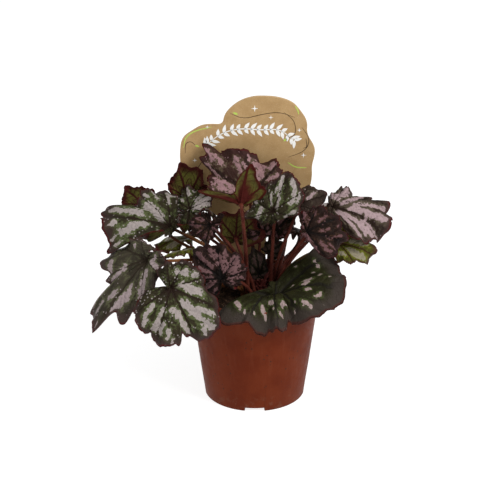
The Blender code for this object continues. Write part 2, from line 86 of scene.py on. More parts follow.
def shown(name, points, faces, *finishes):
    """A new piece with its place in its mesh, smooth shaded, with its materials."""
    mesh = bpy.data.meshes.new(name)
    mesh.from_pydata(np.asarray(points).tolist(), [], [list(face) for face in faces])
    for made in finishes:
        mesh.materials.append(made)
    mesh.shade_smooth()
    piece = bpy.data.objects.new(name, mesh)
    bpy.context.scene.collection.objects.link(piece)
    return piece


floor_white, floor_shader = finish("floor white", (0.3, 0.3, 0.3), 0.9, 0.1)
put(floor_shader.inputs["Emission Color"], (1.0, 1.0, 1.0))
put(floor_shader.inputs["Emission Strength"], 0.85)
corners = FLOOR * np.array([(-1, -1, 0), (1, -1, 0), (1, 1, 0), (-1, 1, 0)])
shown("floor", corners, [(0, 1, 2, 3)], floor_white)

room = bpy.data.worlds.new("room")
room.use_nodes = True
room.node_tree.nodes["Background"].inputs["Color"].default_value = (1, 1, 1, 1)
room.node_tree.nodes["Background"].inputs["Strength"].default_value = 0.5
bpy.context.scene.world = room
bpy.context.scene.view_settings.view_transform = "Standard"


def soft_light(name, place, size, power):
    """A square light that shines at the middle of the plant."""
    light = bpy.data.objects.new(name, bpy.data.lights.new(name, "AREA"))
    light.data.size = size
    light.data.energy = power
    light.location = place
    toward = Vector((0, 0, PLANT_MIDDLE)) - Vector(place)
    light.rotation_euler = toward.to_track_quat("-Z", "Y").to_euler()
    bpy.context.scene.collection.objects.link(light)


soft_light("key light", (1.2, -0.9, 1.6), 0.9, 38)
soft_light("fill light", (-1.2, -1.2, 1.0), 1.0, 7)


# Pot. A thin nursery pot of terracotta coloured plastic, injection moulded: a foot ring with four
# notches, a raised bottom with drain holes, a tapered wall and a collar with a thick rounded lip.
# It is a little dusty, with specks of soil that stuck to it.
POT_HEIGHT = 0.105
RIM_RADIUS = 0.060
BASE_RADIUS = 0.0455
WALL = 0.0013
COLLAR_HEIGHT = 0.014
COLLAR_STEP = 0.0006
LIP = 0.0011
LIP_DEPTH = 0.004
EDGE = 0.0006
FOOT_HEIGHT = 0.0035
FOOT_WIDTH = 0.0032
FOOT_NOTCHES = 4
NOTCH_WIDTH = 0.0185
PAD_RADIUS = 0.008
DRAIN_HOLES = 8
DRAIN_RADIUS = 0.0035
DRAIN_CIRCLE = 0.030
POT_RAYS = 180
NOTCH_SLOPE = 0.002
SLIVER = 1e-6
DRILL_SIDES = 28
DRILL_LOW, DRILL_HIGH = -0.01, 0.02


def wall_radius(height):
    """The pot wall's outer radius below the collar: it widens evenly from base to rim."""
    return BASE_RADIUS + (RIM_RADIUS - COLLAR_STEP - BASE_RADIUS) * height / POT_HEIGHT


def as_part(piece, slot, *nodes):
    """The piece rides with the plant and stands for the CAD nodes, which it hides; slot is not used."""
    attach(piece, "root")
    if nodes:
        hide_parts(*nodes)


def beside(known, kind):
    """A new node in the tree of a node or socket that is there already."""
    return known.id_data.nodes.new(kind)


def math_of(operation, *values):
    """One step of arithmetic on sockets and numbers, of which one at least is a socket."""
    known = next(value for value in values if isinstance(value, bpy.types.NodeSocket))
    node = beside(known, "ShaderNodeMath")
    node.operation = operation
    for socket, value in zip(node.inputs, values):
        put(socket, value)
    return node.outputs[0]


def times(value, by):
    """value x by."""
    return math_of("MULTIPLY", value, by)


def plus(value, more):
    """value + more."""
    return math_of("ADD", value, more)


def scaled(value, by, more):
    """value x by + more."""
    return math_of("MULTIPLY_ADD", value, by, more)


def ease(value, start, end, low=0.0, high=1.0):
    """low up to start, then a smooth step to high at end."""
    node = beside(value, "ShaderNodeMapRange")
    node.interpolation_type = "SMOOTHSTEP"
    names = ("Value", "From Min", "From Max", "To Min", "To Max")
    for name, given in zip(names, (value, start, end, low, high)):
        put(node.inputs[name], given)
    return node.outputs["Result"]


def mixed(share, below, above):
    """Colour above over colour below, by share."""
    node = beside(share, "ShaderNodeMix")
    node.data_type = "RGBA"
    for socket, given in zip(("Factor", 6, 7), (share, below, above)):
        put(node.inputs[socket], given)
    return node.outputs[2]


def stretched(place, by):
    """The place scaled along each axis."""
    node = beside(place, "ShaderNodeMapping")
    node.inputs["Scale"].default_value = by
    put(node.inputs["Vector"], place)
    return node.outputs["Vector"]


def noise(place, scale, detail=2.0, rough=0.5):
    """Cloudy noise from 0 to 1, even round 0.5."""
    node = beside(place, "ShaderNodeTexNoise")
    for name, given in zip(("Vector", "Scale", "Detail", "Roughness"), (place, scale, detail, rough)):
        put(node.inputs[name], given)
    return node.outputs["Fac"]


def cells(place, scale, feature="F1"):
    """Cells round scattered points: the distance to the nearest point, or to the cell's edge, in
    cell widths."""
    node = beside(place, "ShaderNodeTexVoronoi")
    node.feature = feature
    put(node.inputs["Scale"], scale)
    put(node.inputs["Vector"], place)
    return node.outputs["Distance"]


def raised(shader, height, depth):
    """Bump of a depth in metres from a height between 0 and 1."""
    node = beside(shader, "ShaderNodeBump")
    put(node.inputs["Distance"], depth)
    put(node.inputs["Height"], height)
    put(shader.inputs["Normal"], node.outputs["Normal"])


def object_place(shader):
    """The place in the piece's own frame."""
    return beside(shader, "ShaderNodeTexCoord").outputs["Object"]


def parts_of(place):
    """The place's X, Y and Z."""
    node = beside(place, "ShaderNodeSeparateXYZ")
    put(node.inputs[0], place)
    return node.outputs


def rounded(corners, steps=4):
    """A profile from its corners, each a radius, a height and a rounding: at every corner but the two
    ends a quadratic curve runs from the rounding's length before the corner to as far after it."""
    points = [corners[0][:2]]
    for three in zip(corners, corners[1:], corners[2:]):
        before, corner, after = (np.array(place[:2]) for place in three)
        rounding = three[1][2]
        start = corner + (before - corner) * rounding / np.linalg.norm(before - corner)
        end = corner + (after - corner) * rounding / np.linalg.norm(after - corner)
        for t in np.linspace(0, 1, steps + 1) if rounding else [0]:
            points.append(tuple((1 - t) ** 2 * start + 2 * t * (1 - t) * corner + t**2 * end))
    return np.array([*points, corners[-1][:2]])


def all_round(count):
    """Even turns once round, in radians."""
    return np.arange(count) / count * 2 * np.pi


def round_points(radius, turn, height, middle=(0, 0)):
    """Points at a radius and a turn round an upright line through the middle, at a height."""
    x, y = middle[0] + radius * np.cos(turn), middle[1] + radius * np.sin(turn)
    return np.stack(np.broadcast_arrays(x, y, height), -1)


collar = POT_HEIGHT - COLLAR_HEIGHT
pot_floor = FOOT_HEIGHT + WALL
foot_inside = BASE_RADIUS - FOOT_WIDTH
mouth = RIM_RADIUS - WALL - LIP
below_lip = POT_HEIGHT - LIP_DEPTH
# The profile goes round the wall, from the middle of the bottom to the middle of the floor inside.
pot_profile = rounded(
    (
        (0, 0, 0),
        (PAD_RADIUS, 0, EDGE),
        (PAD_RADIUS, FOOT_HEIGHT, 0),
        (foot_inside, FOOT_HEIGHT, 0),
        (foot_inside, 0, EDGE),
        (BASE_RADIUS, 0, EDGE * 1.6),
        (wall_radius(collar * 0.33), collar * 0.33, 0),
        (wall_radius(collar * 0.66), collar * 0.66, 0),
        (wall_radius(collar), collar, 0.0002),
        (wall_radius(collar) + COLLAR_STEP, collar + EDGE / 2, 0.00025),
        (RIM_RADIUS, POT_HEIGHT, EDGE * 1.5),
        (mouth, POT_HEIGHT, EDGE * 0.8),
        (mouth, POT_HEIGHT - LIP, EDGE * 0.8),
        (wall_radius(below_lip) - WALL, below_lip, EDGE),
        (wall_radius(pot_floor) - WALL, pot_floor, EDGE * 2),
        (0, pot_floor, 0),
    )
)

# Rays all round, with two close together at each side of every notch for its upright walls.
half_notch = math.asin(NOTCH_WIDTH / 2 / BASE_RADIUS)
notch_middles = all_round(FOOT_NOTCHES) - np.pi / 2
from_middle = half_notch - np.array([0, NOTCH_SLOPE])
walls = notch_middles[:, None] + [*-from_middle, *from_middle]
turns = np.sort(np.concatenate([all_round(POT_RAYS) - np.pi, np.angle(np.exp(1j * walls)).ravel()]))
from_notch = np.abs(np.angle(np.exp(1j * (turns[:, None] - notch_middles)))).min(axis=1)
in_notch = from_notch < half_notch - NOTCH_SLOPE / 2


def quads(grid):
    """What a grid holds at the four corners of each of its cells: from a corner along the row, then
    to the next row and back."""
    corners = grid[:-1, :-1], grid[:-1, 1:], grid[1:, 1:], grid[1:, :-1]
    return np.stack(corners, 2).reshape(-1, 4, *grid.shape[2:])


def joined(rings):
    """Rings as rows of a grid, each with its first place again at its end."""
    return np.hstack([rings, rings[:, :1]])


def closed_faces(rings, sides):
    """The faces of a closed solid: quads between its rings of points, facing out where the rings
    climb and the sides turn anticlockwise, and triangles that close the first and the last ring
    round the two points that come after all the rings."""
    at = joined(np.arange(rings * sides).reshape(rings, sides))
    pole = np.full(sides, rings * sides)
    below = np.stack([at[0, 1:], at[0, :-1], pole], -1)
    above = np.stack([pole + 1, at[-1, :-1], at[-1, 1:]], -1)
    return [*quads(at), *below, *above]


def turned_solid(profile, turns, notched=None):
    """A closed solid turned round Z: profile runs from the axis below to the axis above. Where
    notched, no ring of the foot is lower than the raised bottom, and each is a sliver above the one
    before, so that no two points meet."""
    radius, height = profile[1:-1, 0, None], profile[1:-1, 1, None] + 0 * turns
    if notched is not None:
        steps = SLIVER * np.arange(len(height))[:, None]
        in_foot = radius > foot_inside - SLIVER
        lifted = np.maximum(height, FOOT_HEIGHT - EDGE / 6 + steps * in_foot)
        height = np.where(notched & in_foot, lifted, height)
    rings = round_points(radius, turns, height).reshape(-1, 3)
    points = np.vstack([rings, [(0, 0, profile[0, 1]), (0, 0, profile[-1, 1])]])
    return points, closed_faces(len(height), len(turns))


def pot_plastic():
    """Terracotta coloured plastic: faintly clouded and streaked downward, paler with dust towards
    the foot, with a painted highlight along the top of the lip, small dark specks of soil and a
    slight orange peel."""
    made, shader = finish("terracotta plastic", (0.1, 0.03, 0.01), 0.5, 0.05)
    place = object_place(shader)
    height = parts_of(place)["Z"]
    clouds = noise(place, 45, 3)
    streaks = noise(stretched(place, (260, 260, 14)), 1, 3)
    colour = mixed(ease(clouds, 0.35, 0.65), (0.097, 0.0148, 0.0040), (0.116, 0.0200, 0.0058))
    colour = mixed(ease(streaks, 0.5, 0.75, 0, 0.2), colour, (0.155, 0.040, 0.018))
    dust = noise(place, 160, 4, 0.65)
    low_dust = ease(height, 0.022, 0.0, 0.0, 0.35)
    dusty = times(ease(dust, 0.48, 0.68), low_dust)
    colour = mixed(dusty, colour, (0.16, 0.085, 0.055))
    # Painted highlight: the top of the lip is made paler where light falls on it, patchy with the dust noise.
    lip_highlight = times(ease(height, 0.1035, 0.105), ease(dust, 0.35, 0.6, 0.2, 0.6))
    colour = mixed(lip_highlight, colour, (0.19, 0.075, 0.045))
    specks = cells(place, 210)
    few = noise(place, 60, 1)
    dirt = times(ease(specks, 0.17, 0.10), ease(few, 0.50, 0.54))
    colour = mixed(dirt, colour, (0.035, 0.018, 0.012))
    put(shader.inputs["Base Color"], colour)
    put(shader.inputs["Roughness"], ease(dust, 0.3, 0.7, 0.42, 0.58))
    peel = plus(noise(place, 900, 2), times(dirt, 0.8))
    raised(shader, peel, 0.00006)
    return made


terracotta = pot_plastic()
pot = shown("pot_moulding", *turned_solid(pot_profile, turns, in_notch), terracotta)
drill = np.array([(0, DRILL_LOW), (DRAIN_RADIUS, DRILL_LOW), (DRAIN_RADIUS, DRILL_HIGH), (0, DRILL_HIGH)])
drill_points, drill_faces = turned_solid(drill, all_round(DRILL_SIDES))
drill_places = round_points(DRAIN_CIRCLE, all_round(DRAIN_HOLES) + np.pi / DRAIN_HOLES, 0)
all_drills = (drill_points + drill_places[:, None]).reshape(-1, 3)
all_faces = [face + len(drill_points) * hole for hole in range(DRAIN_HOLES) for face in drill_faces]
drills = shown("drills", all_drills, all_faces)
bored = pot.modifiers.new("Drain holes", "BOOLEAN")
bored.operation = "DIFFERENCE"
bored.object = drills
pot_mesh = bpy.data.meshes.new_from_object(pot.evaluated_get(bpy.context.evaluated_depsgraph_get()))
pot.modifiers.clear()
pot.data = pot_mesh
bpy.data.objects.remove(drills)
pot_mesh.set_sharp_from_angle(angle=math.radians(38))
as_part(pot, "pot_plastic", "pot")


# Potting soil. Dark moist peat that fills the pot to just under the lip: crumbs of all sizes,
# loose on top, with a few paler flecks.
SOIL_LEVEL = 0.094
SOIL_DOME = 0.0020
SOIL_CRUMB = 0.0005
SOIL_RAYS = 160
SOIL_RINGS = 40
LOOSE_CRUMBS = 900
CRUMB_SIZE = 0.0011
CRUMB_SIDES = 5
CRUMB_MARGIN = 0.0015
SOIL_UNEVEN = 0.00022
GAP = 0.0003
chance = np.random.default_rng(26)


def soil_top(radius, angle):
    """Height of the soil: a low dome, uneven with crumbs except at the middle."""
    dome = SOIL_LEVEL + SOIL_DOME * (1 - (radius / RIM_RADIUS) ** 2)
    crumbs = np.sin(5 * angle + 90 * radius) + np.sin(11 * angle - 260 * radius + 1.3)
    return dome + SOIL_CRUMB * crumbs * np.minimum(radius * 3 / RIM_RADIUS, 1)


def peat():
    """Nearly black brown crumbs, some redder and some paler, dull and rough."""
    made, shader = finish("peat", (0.02, 0.012, 0.008), 0.95, 0.05)
    place = object_place(shader)
    grain = cells(place, 700)
    clouds = noise(place, 260, 4, 0.7)
    colour = mixed(ease(clouds, 0.4, 0.65), (0.010, 0.006, 0.004), (0.040, 0.022, 0.013))
    pale = times(ease(noise(place, 480, 1), 0.66, 0.72), 0.6)
    colour = mixed(pale, colour, (0.16, 0.10, 0.06))
    put(shader.inputs["Base Color"], colour)
    raised(shader, plus(grain, clouds), 0.0006)
    return made


soil_angle = all_round(SOIL_RAYS)
soil_edge = wall_radius(SOIL_LEVEL) - WALL - GAP / 3
soil_radius = soil_edge * np.arange(1, SOIL_RINGS + 1)[:, None] / SOIL_RINGS + 0 * soil_angle
soil_height = soil_top(soil_radius, soil_angle) + chance.normal(0, SOIL_UNEVEN, soil_radius.shape)
bottom_radius = np.full((1, SOIL_RAYS), wall_radius(pot_floor) - WALL - GAP / 3)
bottom_height = np.full((1, SOIL_RAYS), pot_floor + GAP)
soil_radii = np.vstack([bottom_radius, soil_radius[::-1]])
soil_grid = round_points(soil_radii, soil_angle, np.vstack([bottom_height, soil_height[::-1]]))
soil_ends = [(0, 0, pot_floor + GAP), (0, 0, SOIL_LEVEL + SOIL_DOME)]
soil_points = np.vstack([soil_grid.reshape(-1, 3), soil_ends])

# A loose crumb is a small lumpy ball: two rings of five points between two ends, turned and
# stretched its own way.
crumb_turn = all_round(CRUMB_SIDES)
low_ring, high_ring = round_points(0.8, crumb_turn, -0.45), round_points(0.85, crumb_turn + 0.6, 0.45)
crumb_ball = np.vstack([[(0, 0, -1)], low_ring, high_ring, [(0, 0, 1)]])
low = 1 + np.arange(CRUMB_SIDES)
low_after = 1 + low % CRUMB_SIDES
high, high_after = low + CRUMB_SIDES, low_after + CRUMB_SIDES
below, above = 0 * low, 0 * low + len(crumb_ball) - 1
crumb_faces = [(below, low_after, low), (low, low_after, high), (low_after, high_after, high)]
crumb_faces = np.concatenate([np.stack(face, -1) for face in (*crumb_faces, (high, high_after, above))])
crumb_size = CRUMB_SIZE * chance.uniform(0.25, 1, (LOOSE_CRUMBS, 1, 1)) ** 1.5
crumb_axes = chance.normal(size=(LOOSE_CRUMBS, 3, 3))
crumb_axes /= np.linalg.norm(crumb_axes, axis=2, keepdims=True)
crumb_axes = np.linalg.qr(crumb_axes)[0]
crumb_axes[:, :, 0] *= np.sign(np.linalg.det(crumb_axes))[:, None]
crumb_shape = crumb_ball * chance.uniform(0.7, 1.2, (LOOSE_CRUMBS, len(crumb_ball), 1)) * [1.3, 1.0, 0.8]
crumb_far = (soil_edge - CRUMB_MARGIN) * np.sqrt(chance.uniform(0.03, 1, LOOSE_CRUMBS))
crumb_way = chance.uniform(0, 2 * np.pi, LOOSE_CRUMBS)
crumb_place = round_points(crumb_far, crumb_way, soil_top(crumb_far, crumb_way))
crumb_points = np.einsum("nij,nkj->nki", crumb_axes, crumb_shape) * crumb_size + crumb_place[:, None]
all_crumb_faces = crumb_faces + len(crumb_ball) * np.arange(LOOSE_CRUMBS)[:, None, None]
soil = shown(
    "soil_crumbled",
    np.vstack([soil_points, crumb_points.reshape(-1, 3)]),
    [*closed_faces(SOIL_RINGS + 1, SOIL_RAYS), *(all_crumb_faces + len(soil_points)).reshape(-1, 3)],
    peat(),
)
as_part(soil, "potting_soil", "soil")


# Leaves. Each leaf is one thin hairy blade on its own stalk. The table gives the pose and growth of
# each leaf, the same as its solid has, then the colours that it shows.
MAIN_VEINS = 9
EDGE_PLACES = 12
BLADE_THICKNESS = 0.0007


def leaf(name, joint, midrib, upper, length, foot, look="silver", marks=None, **shape):
    """One leaf. joint: where the stalk meets the blade. midrib: the way to the tip. upper: the way
    that the upper side faces. length: from stalk to tip. foot: distance and compass angle in degrees
    of the stalk's foot round the crown. look: its finish. marks: its silver streaks, each an angle at
    the inner end, an angle at the outer end, the share of the way out where it starts and ends, and
    its half width in millimetres. shape: what differs from the plain leaf below.
    Outline: spread is its width as a share of its length, skew how much one basal lobe outgrows the
    other, lobe the depth of the lobes, tip how far the tip runs out, notch the half width of the notch
    at the stalk in radians, edge its growth at even steps round the edge, and frilly how much of the
    finest frill it has. Surface: cup and sag are its rise and fall outwards, ruffle the height of its
    waves and phase where they start, droop and roll its bends along and across, in radians over its
    length. pulls, fine and curls are told below, at pulled and curled. Stalk: thick is the radius at
    its foot, rise and reach how far it runs straight at its foot and at the blade, and stalk its
    finish. grid: the rays and rings of its points. solid: whether it stands for CAD nodes."""
    plain = dict(
        spread=1.0, skew=0.2, lobe=0.05, tip=0.16, notch=0.42, edge=(1.0,) * EDGE_PLACES, frilly=1.0,
        cup=0.30, sag=0.28, waves=6, ruffle=0.08, phase=0.0, droop=0.5, roll=0.3, pulls=(), fine=(),
        curls=(), thick=0.0019, rise=0.6, reach=0.35, stalk="red", grid=(288, 28), solid=True,
    )
    plain.update(shape)
    plain.update(name=name, joint=joint, midrib=midrib, upper=upper, length=length, foot=foot)
    plain.update(look=look, marks=marks)
    return plain


INNER = 0.0105
OUTER = 0.0160
LEAVES = (
    leaf("left_upper", (-0.076, 0.001, 0.161), (-0.92, -0.2, 0.3), (-0.1, -0.6, 0.8), 0.063, (OUTER, 169),
         stalk="tan", grid=(360, 34), notch=0.7, phase=0.4,
         edge=(0.65, 0.5, 0.4, 1.1, 0.95, 0.75, 0.88, 0.98, 0.5, 0.25, 0.2, 0.3),
         pulls=((-17, 9, 0.22, 0), (15, 9, 0.08, 0), (42, 9, -0.25, 0), (66, 18, 0, 0.15)),
         fine=((31, 7, 0.14, 0), (49, 11, 0.45, 0), (-9, 4, 0.07, 0), (-18, 4, 0.05, 0), (-28, 6, -0.15, 0),
               (-40, 6, -0.11, 0)), curls=((50, 14, 0.56, 0.0018, 112),),
         marks=((-31, -35, 0.32, 0.72, 4.2), (-14, -12, 0.46, 0.92, 3.6), (-60, -62, 0.72, 0.9, 2.5),
                (6, 17, 0.4, 0.74, 3.4), (18, 20, 0.86, 0.95, 2.8), (7, 9, 0.82, 0.93, 2.6),
                (40, 46, 0.3, 0.75, 2.2), (27, 28, 0.8, 0.9, 2.2), (-82, -84, 0.5, 0.75, 1.3),
                (-84, -95, 0.86, 0.88, 1.2), (-48, -47, 0.78, 0.88, 1.6))),
    leaf("left_low", (-0.093, -0.044, 0.1495), (-0.58, -0.22, -0.78), (-0.45, -0.75, 0.45), 0.079,
         (INNER, 210), look="lilac", stalk="tan", grid=(360, 34), spread=0.72, notch=1.0, phase=1.0,
         droop=0.2, rise=0.8, edge=(1, 0.9, 0.8, 0.95, 1.1, 0.73, 0.98, 0.62, 0.77, 0.45, 0.65, 1.05),
         pulls=((-45, 9, -0.22, 0), (-21, 8, 0.32, 0), (7, 5, -0.22, 0), (18, 5, 0.08, 0),
                (75, 9, -0.1, 0)),
         fine=((-25.4, 3.3, 0.19, 0), (-18, 4, 0.05, 0), (-31, 3, -0.12, 0), (4, 4, -0.07, 0),
               (19, 5, 0.045, 0.03), (32, 8, 0.11, 0)),
         marks=((50, 40, 0.34, 0.8, 4.2), (37, 39, 0.86, 0.92, 2.8), (-41, -26, 0.52, 0.93, 2.6),
                (-55, -47, 0.72, 0.88, 3.4), (14, 10, 0.55, 0.74, 4.2), (9, 5, 0.76, 0.92, 4.6),
                (-16, -14, 0.72, 0.93, 2.8), (-9, -10, 0.52, 0.64, 2.8), (13, 13, 0.42, 0.5, 1.6),
                (100, 85, 0.45, 0.8, 2.4), (122, 125, 0.6, 0.7, 1.6), (-4, -3, 0.88, 0.95, 1.4),
                (-98, -98, 0.62, 0.64, 2), (-78, -78, 0.82, 0.88, 2.8))),
    leaf("front_left", (-0.0735, -0.072, 0.1348), (0.92, -0.14, -0.36), (0.0, -0.85, 0.5), 0.059,
         (OUTER, 205), stalk="tan", grid=(360, 34), phase=2.0, rise=0.35,
         edge=(0.4, 1.3, 1.45, 1.4, 1.25, 1.1, 0.77, 0.6, 0.65, 0.67, 0.62, 0.85),
         pulls=((-45, 8, -0.25, 0), (-106, 8, 0.12, 0), (-165, 8, -0.25, 0)),
         fine=((-98, 6, 0.14, 0), (-91, 2.5, -0.06, 0), (-66, 6, 0.06, 0), (-57, 3, 0.05, 0),
               (-52, 2.8, -0.17, 0), (-74, 2.5, -0.05, 0), (-36, 6, 0.05, 0), (-18, 8, 0.03, 0)),
         marks=((-27, -20, 0.3, 0.92, 3.6), (-14, -8, 0.55, 0.86, 2.4), (-27, -28, 0.83, 0.92, 3),
                (-58, -43, 0.38, 0.9, 2.9), (-46, -42, 0.72, 0.9, 3), (-84, -87, 0.4, 0.8, 2.6),
                (-77, -79, 0.62, 0.78, 2.2), (-69, -69, 0.72, 0.86, 2.2), (-64, -64, 0.88, 0.95, 1.8),
                (-91, -91, 0.8, 0.88, 1.9), (32, 14, 0.38, 0.68, 3.6), (82, 66, 0.52, 0.66, 3.4),
                (52, 50, 0.74, 0.84, 2.2), (40, 38, 0.22, 0.32, 1.7), (-104, -104, 0.8, 0.92, 2.6),
                (-112, -108, 0.5, 0.78, 1.9))),
    leaf("front_right", (0.0175, -0.037, 0.1055), (0.97, -0.12, 0.12), (-0.12, 0.0, 0.99), 0.065,
         (OUTER, 300), look="spotted", grid=(504, 44), notch=0.5, cup=0.8, sag=0.9, waves=8, ruffle=0.05,
         droop=0.0, roll=0.0, edge=(0.6, 2.9, 1.27, 0.87, 0.64, 0.77, 0.9, 1.12, 1.0, 0.42, 0.4, 0.4),
         pulls=((-160, 18, 0, 0.25), (-132, 20, 0, 0.14), (-92, 22, 0, -0.14), (0, 25, 0, 0.18),
                (45, 32, 0, 0.4), (110, 40, 0, 0.15), (-45, 9, -0.2, 0)),
         fine=((-128, 18, 0.0, -0.15), (-64, 14, 0.03, -0.08), (-28, 20, 0.04, -0.11), (-19, 6, 0.08, 0),
               (-76, 8, 0.05, 0), (2, 14, 0.04, 0), (58, 18, 0.1, 0.12), (-152, 14, 0.35, 0),
               (-123, 6, 0.17, 0), (-107, 6, -0.07, 0), (-45, 8, -0.055, 0), (-165, 12, 0, -0.14),
               (20, 5, 0.03, 0)),
         marks=((-143, -137, 0.66, 0.73, 2), (-130, -129, 0.83, 0.85, 1.8), (-126, -126, 0.91, 0.92, 1.1),
                (-109, -107, 0.73, 0.75, 2.2), (-104, -104, 0.82, 0.84, 1.8), (-95, -84, 0.6, 0.59, 1.5),
                (-67, -58, 0.7, 0.69, 1.8), (-73, -71, 0.81, 0.84, 2), (-40, -40, 0.81, 0.83, 1.4),
                (-32, -28, 0.75, 0.85, 1.9), (-17, -10, 0.73, 0.75, 1.9), (4, 13, 0.44, 0.53, 3.4),
                (-9, -7, 0.52, 0.55, 1.9), (17, 19, 0.26, 0.29, 1.4), (36, 42, 0.73, 0.75, 1.8),
                (17, 21, 0.68, 0.7, 1.6), (30, 30, 0.61, 0.63, 1.2), (-20, -20, 0.9, 0.91, 0.9),
                (54, 56, 0.6, 0.62, 1.3), (-118, -118, 0.8, 0.81, 0.9), (-52, -52, 0.75, 0.76, 0.9),
                (-84, -84, 0.72, 0.73, 0.8), (8, 8, 0.8, 0.81, 1))),
    leaf("centre_front", (-0.029, -0.04, 0.129), (-0.15, 0.2, 0.95), (-0.05, -0.85, 0.5), 0.034,
         (OUTER, 245), look="shaded", spread=1.05, frilly=1.6, phase=1.5,
         edge=(1, 1.3, 1.05, 1.15, 0.97, 0.85, 0.85, 1.2, 0.95, 0.8, 0.85, 1.4),
         marks=((-30, -42, 0.4, 0.86, 3.6), (-52, -60, 0.45, 0.85, 3), (-74, -76, 0.5, 0.95, 2.2),
                (-88, -94, 0.3, 0.85, 1.6), (-5, 4, 0.45, 0.76, 3.4), (12, 14, 0.7, 0.92, 2.6),
                (-16, -14, 0.72, 0.9, 2.2), (30, 34, 0.4, 0.85, 3), (50, 55, 0.4, 0.85, 2.2),
                (70, 74, 0.4, 0.85, 2), (104, 110, 0.4, 0.9, 2.2), (-115, -120, 0.5, 0.85, 1.8),
                (140, 140, 0.5, 0.8, 1.4))),
    leaf("centre_small", (-0.039, -0.018, 0.171), (-0.25, -0.3, -0.8), (0.1, -0.8, 0.55), 0.027,
         (INNER, 242), look="dusky", spread=0.9, frilly=1.8,
         edge=(1.5, 1.5, 1.3, 1.35, 1.1, 0.6, 0.65, 0.5, 0.4, 0.45, 0.7, 1.4),
         marks=((-71, -77, 0.45, 0.95, 2), (-96, -98, 0.55, 0.9, 1.4), (-10, -10, 0.5, 0.95, 2.2),
                (23, 31, 0.45, 0.86, 1.4), (-170, 164, 0.6, 0.75, 1.2), (-45, -42, 0.6, 0.95, 1.4),
                (-112, -108, 0.5, 0.75, 1), (60, 66, 0.5, 0.85, 1.4), (110, 112, 0.5, 0.85, 1.4))),
    leaf("left_inner", (-0.058, 0.015, 0.1715), (0.85, 0.1, 0.4), (-0.1, -0.6, 0.8), 0.034, (INNER, 180),
         stalk="tan", notch=0.8, frilly=1.4, reach=0.2,
         edge=(1.1, 1.0, 0.8, 0.6, 0.3, 0.4, 0.6, 0.75, 0.9, 1.1, 1.2, 1.2), fine=((-134, 30, 2.6, 0),),
         curls=((-130, 38, 0.55, 0.0018, 105),),
         marks=((-10, 4, 0.35, 0.85, 3.6), (28, 30, 0.45, 0.85, 2.4), (-30, -34, 0.45, 0.85, 2.2),
                (70, 74, 0.6, 0.8, 1.5), (100, 100, 0.5, 0.6, 1.4), (130, 130, 0.7, 0.75, 1.4),
                (60, 52, 0.82, 0.9, 1.2))),
    leaf("left_standing", (-0.06, 0.037, 0.172), (-0.25, 0.0, 0.95), (-0.1, 0.95, 0.1), 0.036, (OUTER, 133),
         look="red back", spread=0.85, cup=0.2, sag=0.2, ruffle=0.05, reach=0.15,
         edge=(1, 1, 0.9, 0.8, 0.75, 0.87, 1.05, 1.25, 0.95, 0.8, 0.8, 0.9)),
    leaf("top_centre", (-0.004, 0.014, 0.187), (-0.1, 0.25, 0.9), (0.0, -0.8, 0.55), 0.041, (INNER, 120),
         look="pink", grid=(360, 30), spread=1.4, frilly=1.7, ruffle=0.12, phase=0.8,
         edge=(0.5, 0.5, 0.6, 0.6, 0.95, 0.87, 0.85, 1.15, 0.98, 0.5, 0.3, 0.35),
         pulls=((25, 7, 0.42, 0), (36, 5, 0.25, 0), (46, 6, -0.1, 0), (17, 4, -0.15, 0), (10, 6, 0.1, 0),
                (28, 14, 0, 0.15)),
         fine=((15.5, 4, 0.22, 0), (20.6, 1.1, -0.16, 0), (31, 2.5, -0.13, 0), (35, 4, -0.05, 0),
               (12, 2, 0, 0.05), (-30, 6, 0.04, 0)),
         marks=((-26, -14, 0.52, 0.84, 3.6), (-35, -34, 0.78, 0.92, 2.2), (-3, -3, 0.8, 0.9, 1.5),
                (10, 13, 0.5, 0.72, 1.8), (60, 38, 0.4, 0.9, 1.4), (31, 28, 0.75, 0.95, 1.5),
                (66, 62, 0.45, 0.92, 2.6), (26, 27, 0.55, 0.8, 1.2), (48, 50, 0.5, 0.9, 1.3),
                (2, 4, 0.6, 0.72, 1.4), (-48, -52, 0.65, 0.85, 1.8))),
    leaf("star", (-0.012, -0.03, 0.195), (0.15, 0.1, 0.98), (0.0, 0.95, 0.3), 0.036, (OUTER, 225),
         look="star", tip=0.5, notch=0.9, cup=0.32, waves=3, ruffle=0.05, thick=0.0022, reach=0.08,
         edge=(1, 1, 0.7, 0.55, 0.8, 0.6, 1.03, 1.0, 0.7, 0.5, 0.6, 1),
         pulls=((53, 11, 0.8, 0), (-77, 11, 3.0, 0))),
    leaf("right_centre", (0.0155, -0.006, 0.179), (0.35, 0.1, 0.9), (0.0, -0.85, 0.5), 0.043, (INNER, 330),
         spread=0.8, phase=2.2, edge=(1.3, 0.9, 0.6, 0.9, 1.1, 0.95, 0.85, 0.75, 0.62, 0.82, 1.0, 0.95),
         fine=((180, 18, 1.5, 0), (112, 18, 0.15, 0)), curls=((-105, 26, 0.76, 0.0014, 130),),
         marks=((-38, -6, 0.16, 0.32, 1.7), (-6, 6, 0.32, 0.88, 2.1), (-12, -38, 0.92, 0.74, 2.6),
                (-38, -46, 0.74, 0.62, 3.6), (-40, -50, 0.88, 0.8, 2.6), (-88, -66, 0.66, 0.9, 1.4),
                (36, 27, 0.22, 0.62, 1.2), (14, 12, 0.55, 0.66, 1.2), (92, 128, 0.5, 0.66, 2.1),
                (84, 82, 0.8, 0.88, 1.9))),
    leaf("right_top", (0.069, 0.006, 0.1775), (0.9, -0.25, -0.2), (0.0, -0.55, 0.83), 0.056, (OUTER, 7),
         look="rosy", notch=0.8, frilly=1.4,
         edge=(0.5, 0.5, 0.4, 0.4, 0.5, 0.85, 0.92, 1.14, 0.6, 0.63, 0.5, 0.4), pulls=((45, 8, -0.15, 0),),
         fine=((37.5, 3.5, -0.22, 0), (31, 4, -0.12, 0.17), (22, 3, -0.06, 0), (7, 6, -0.07, 0),
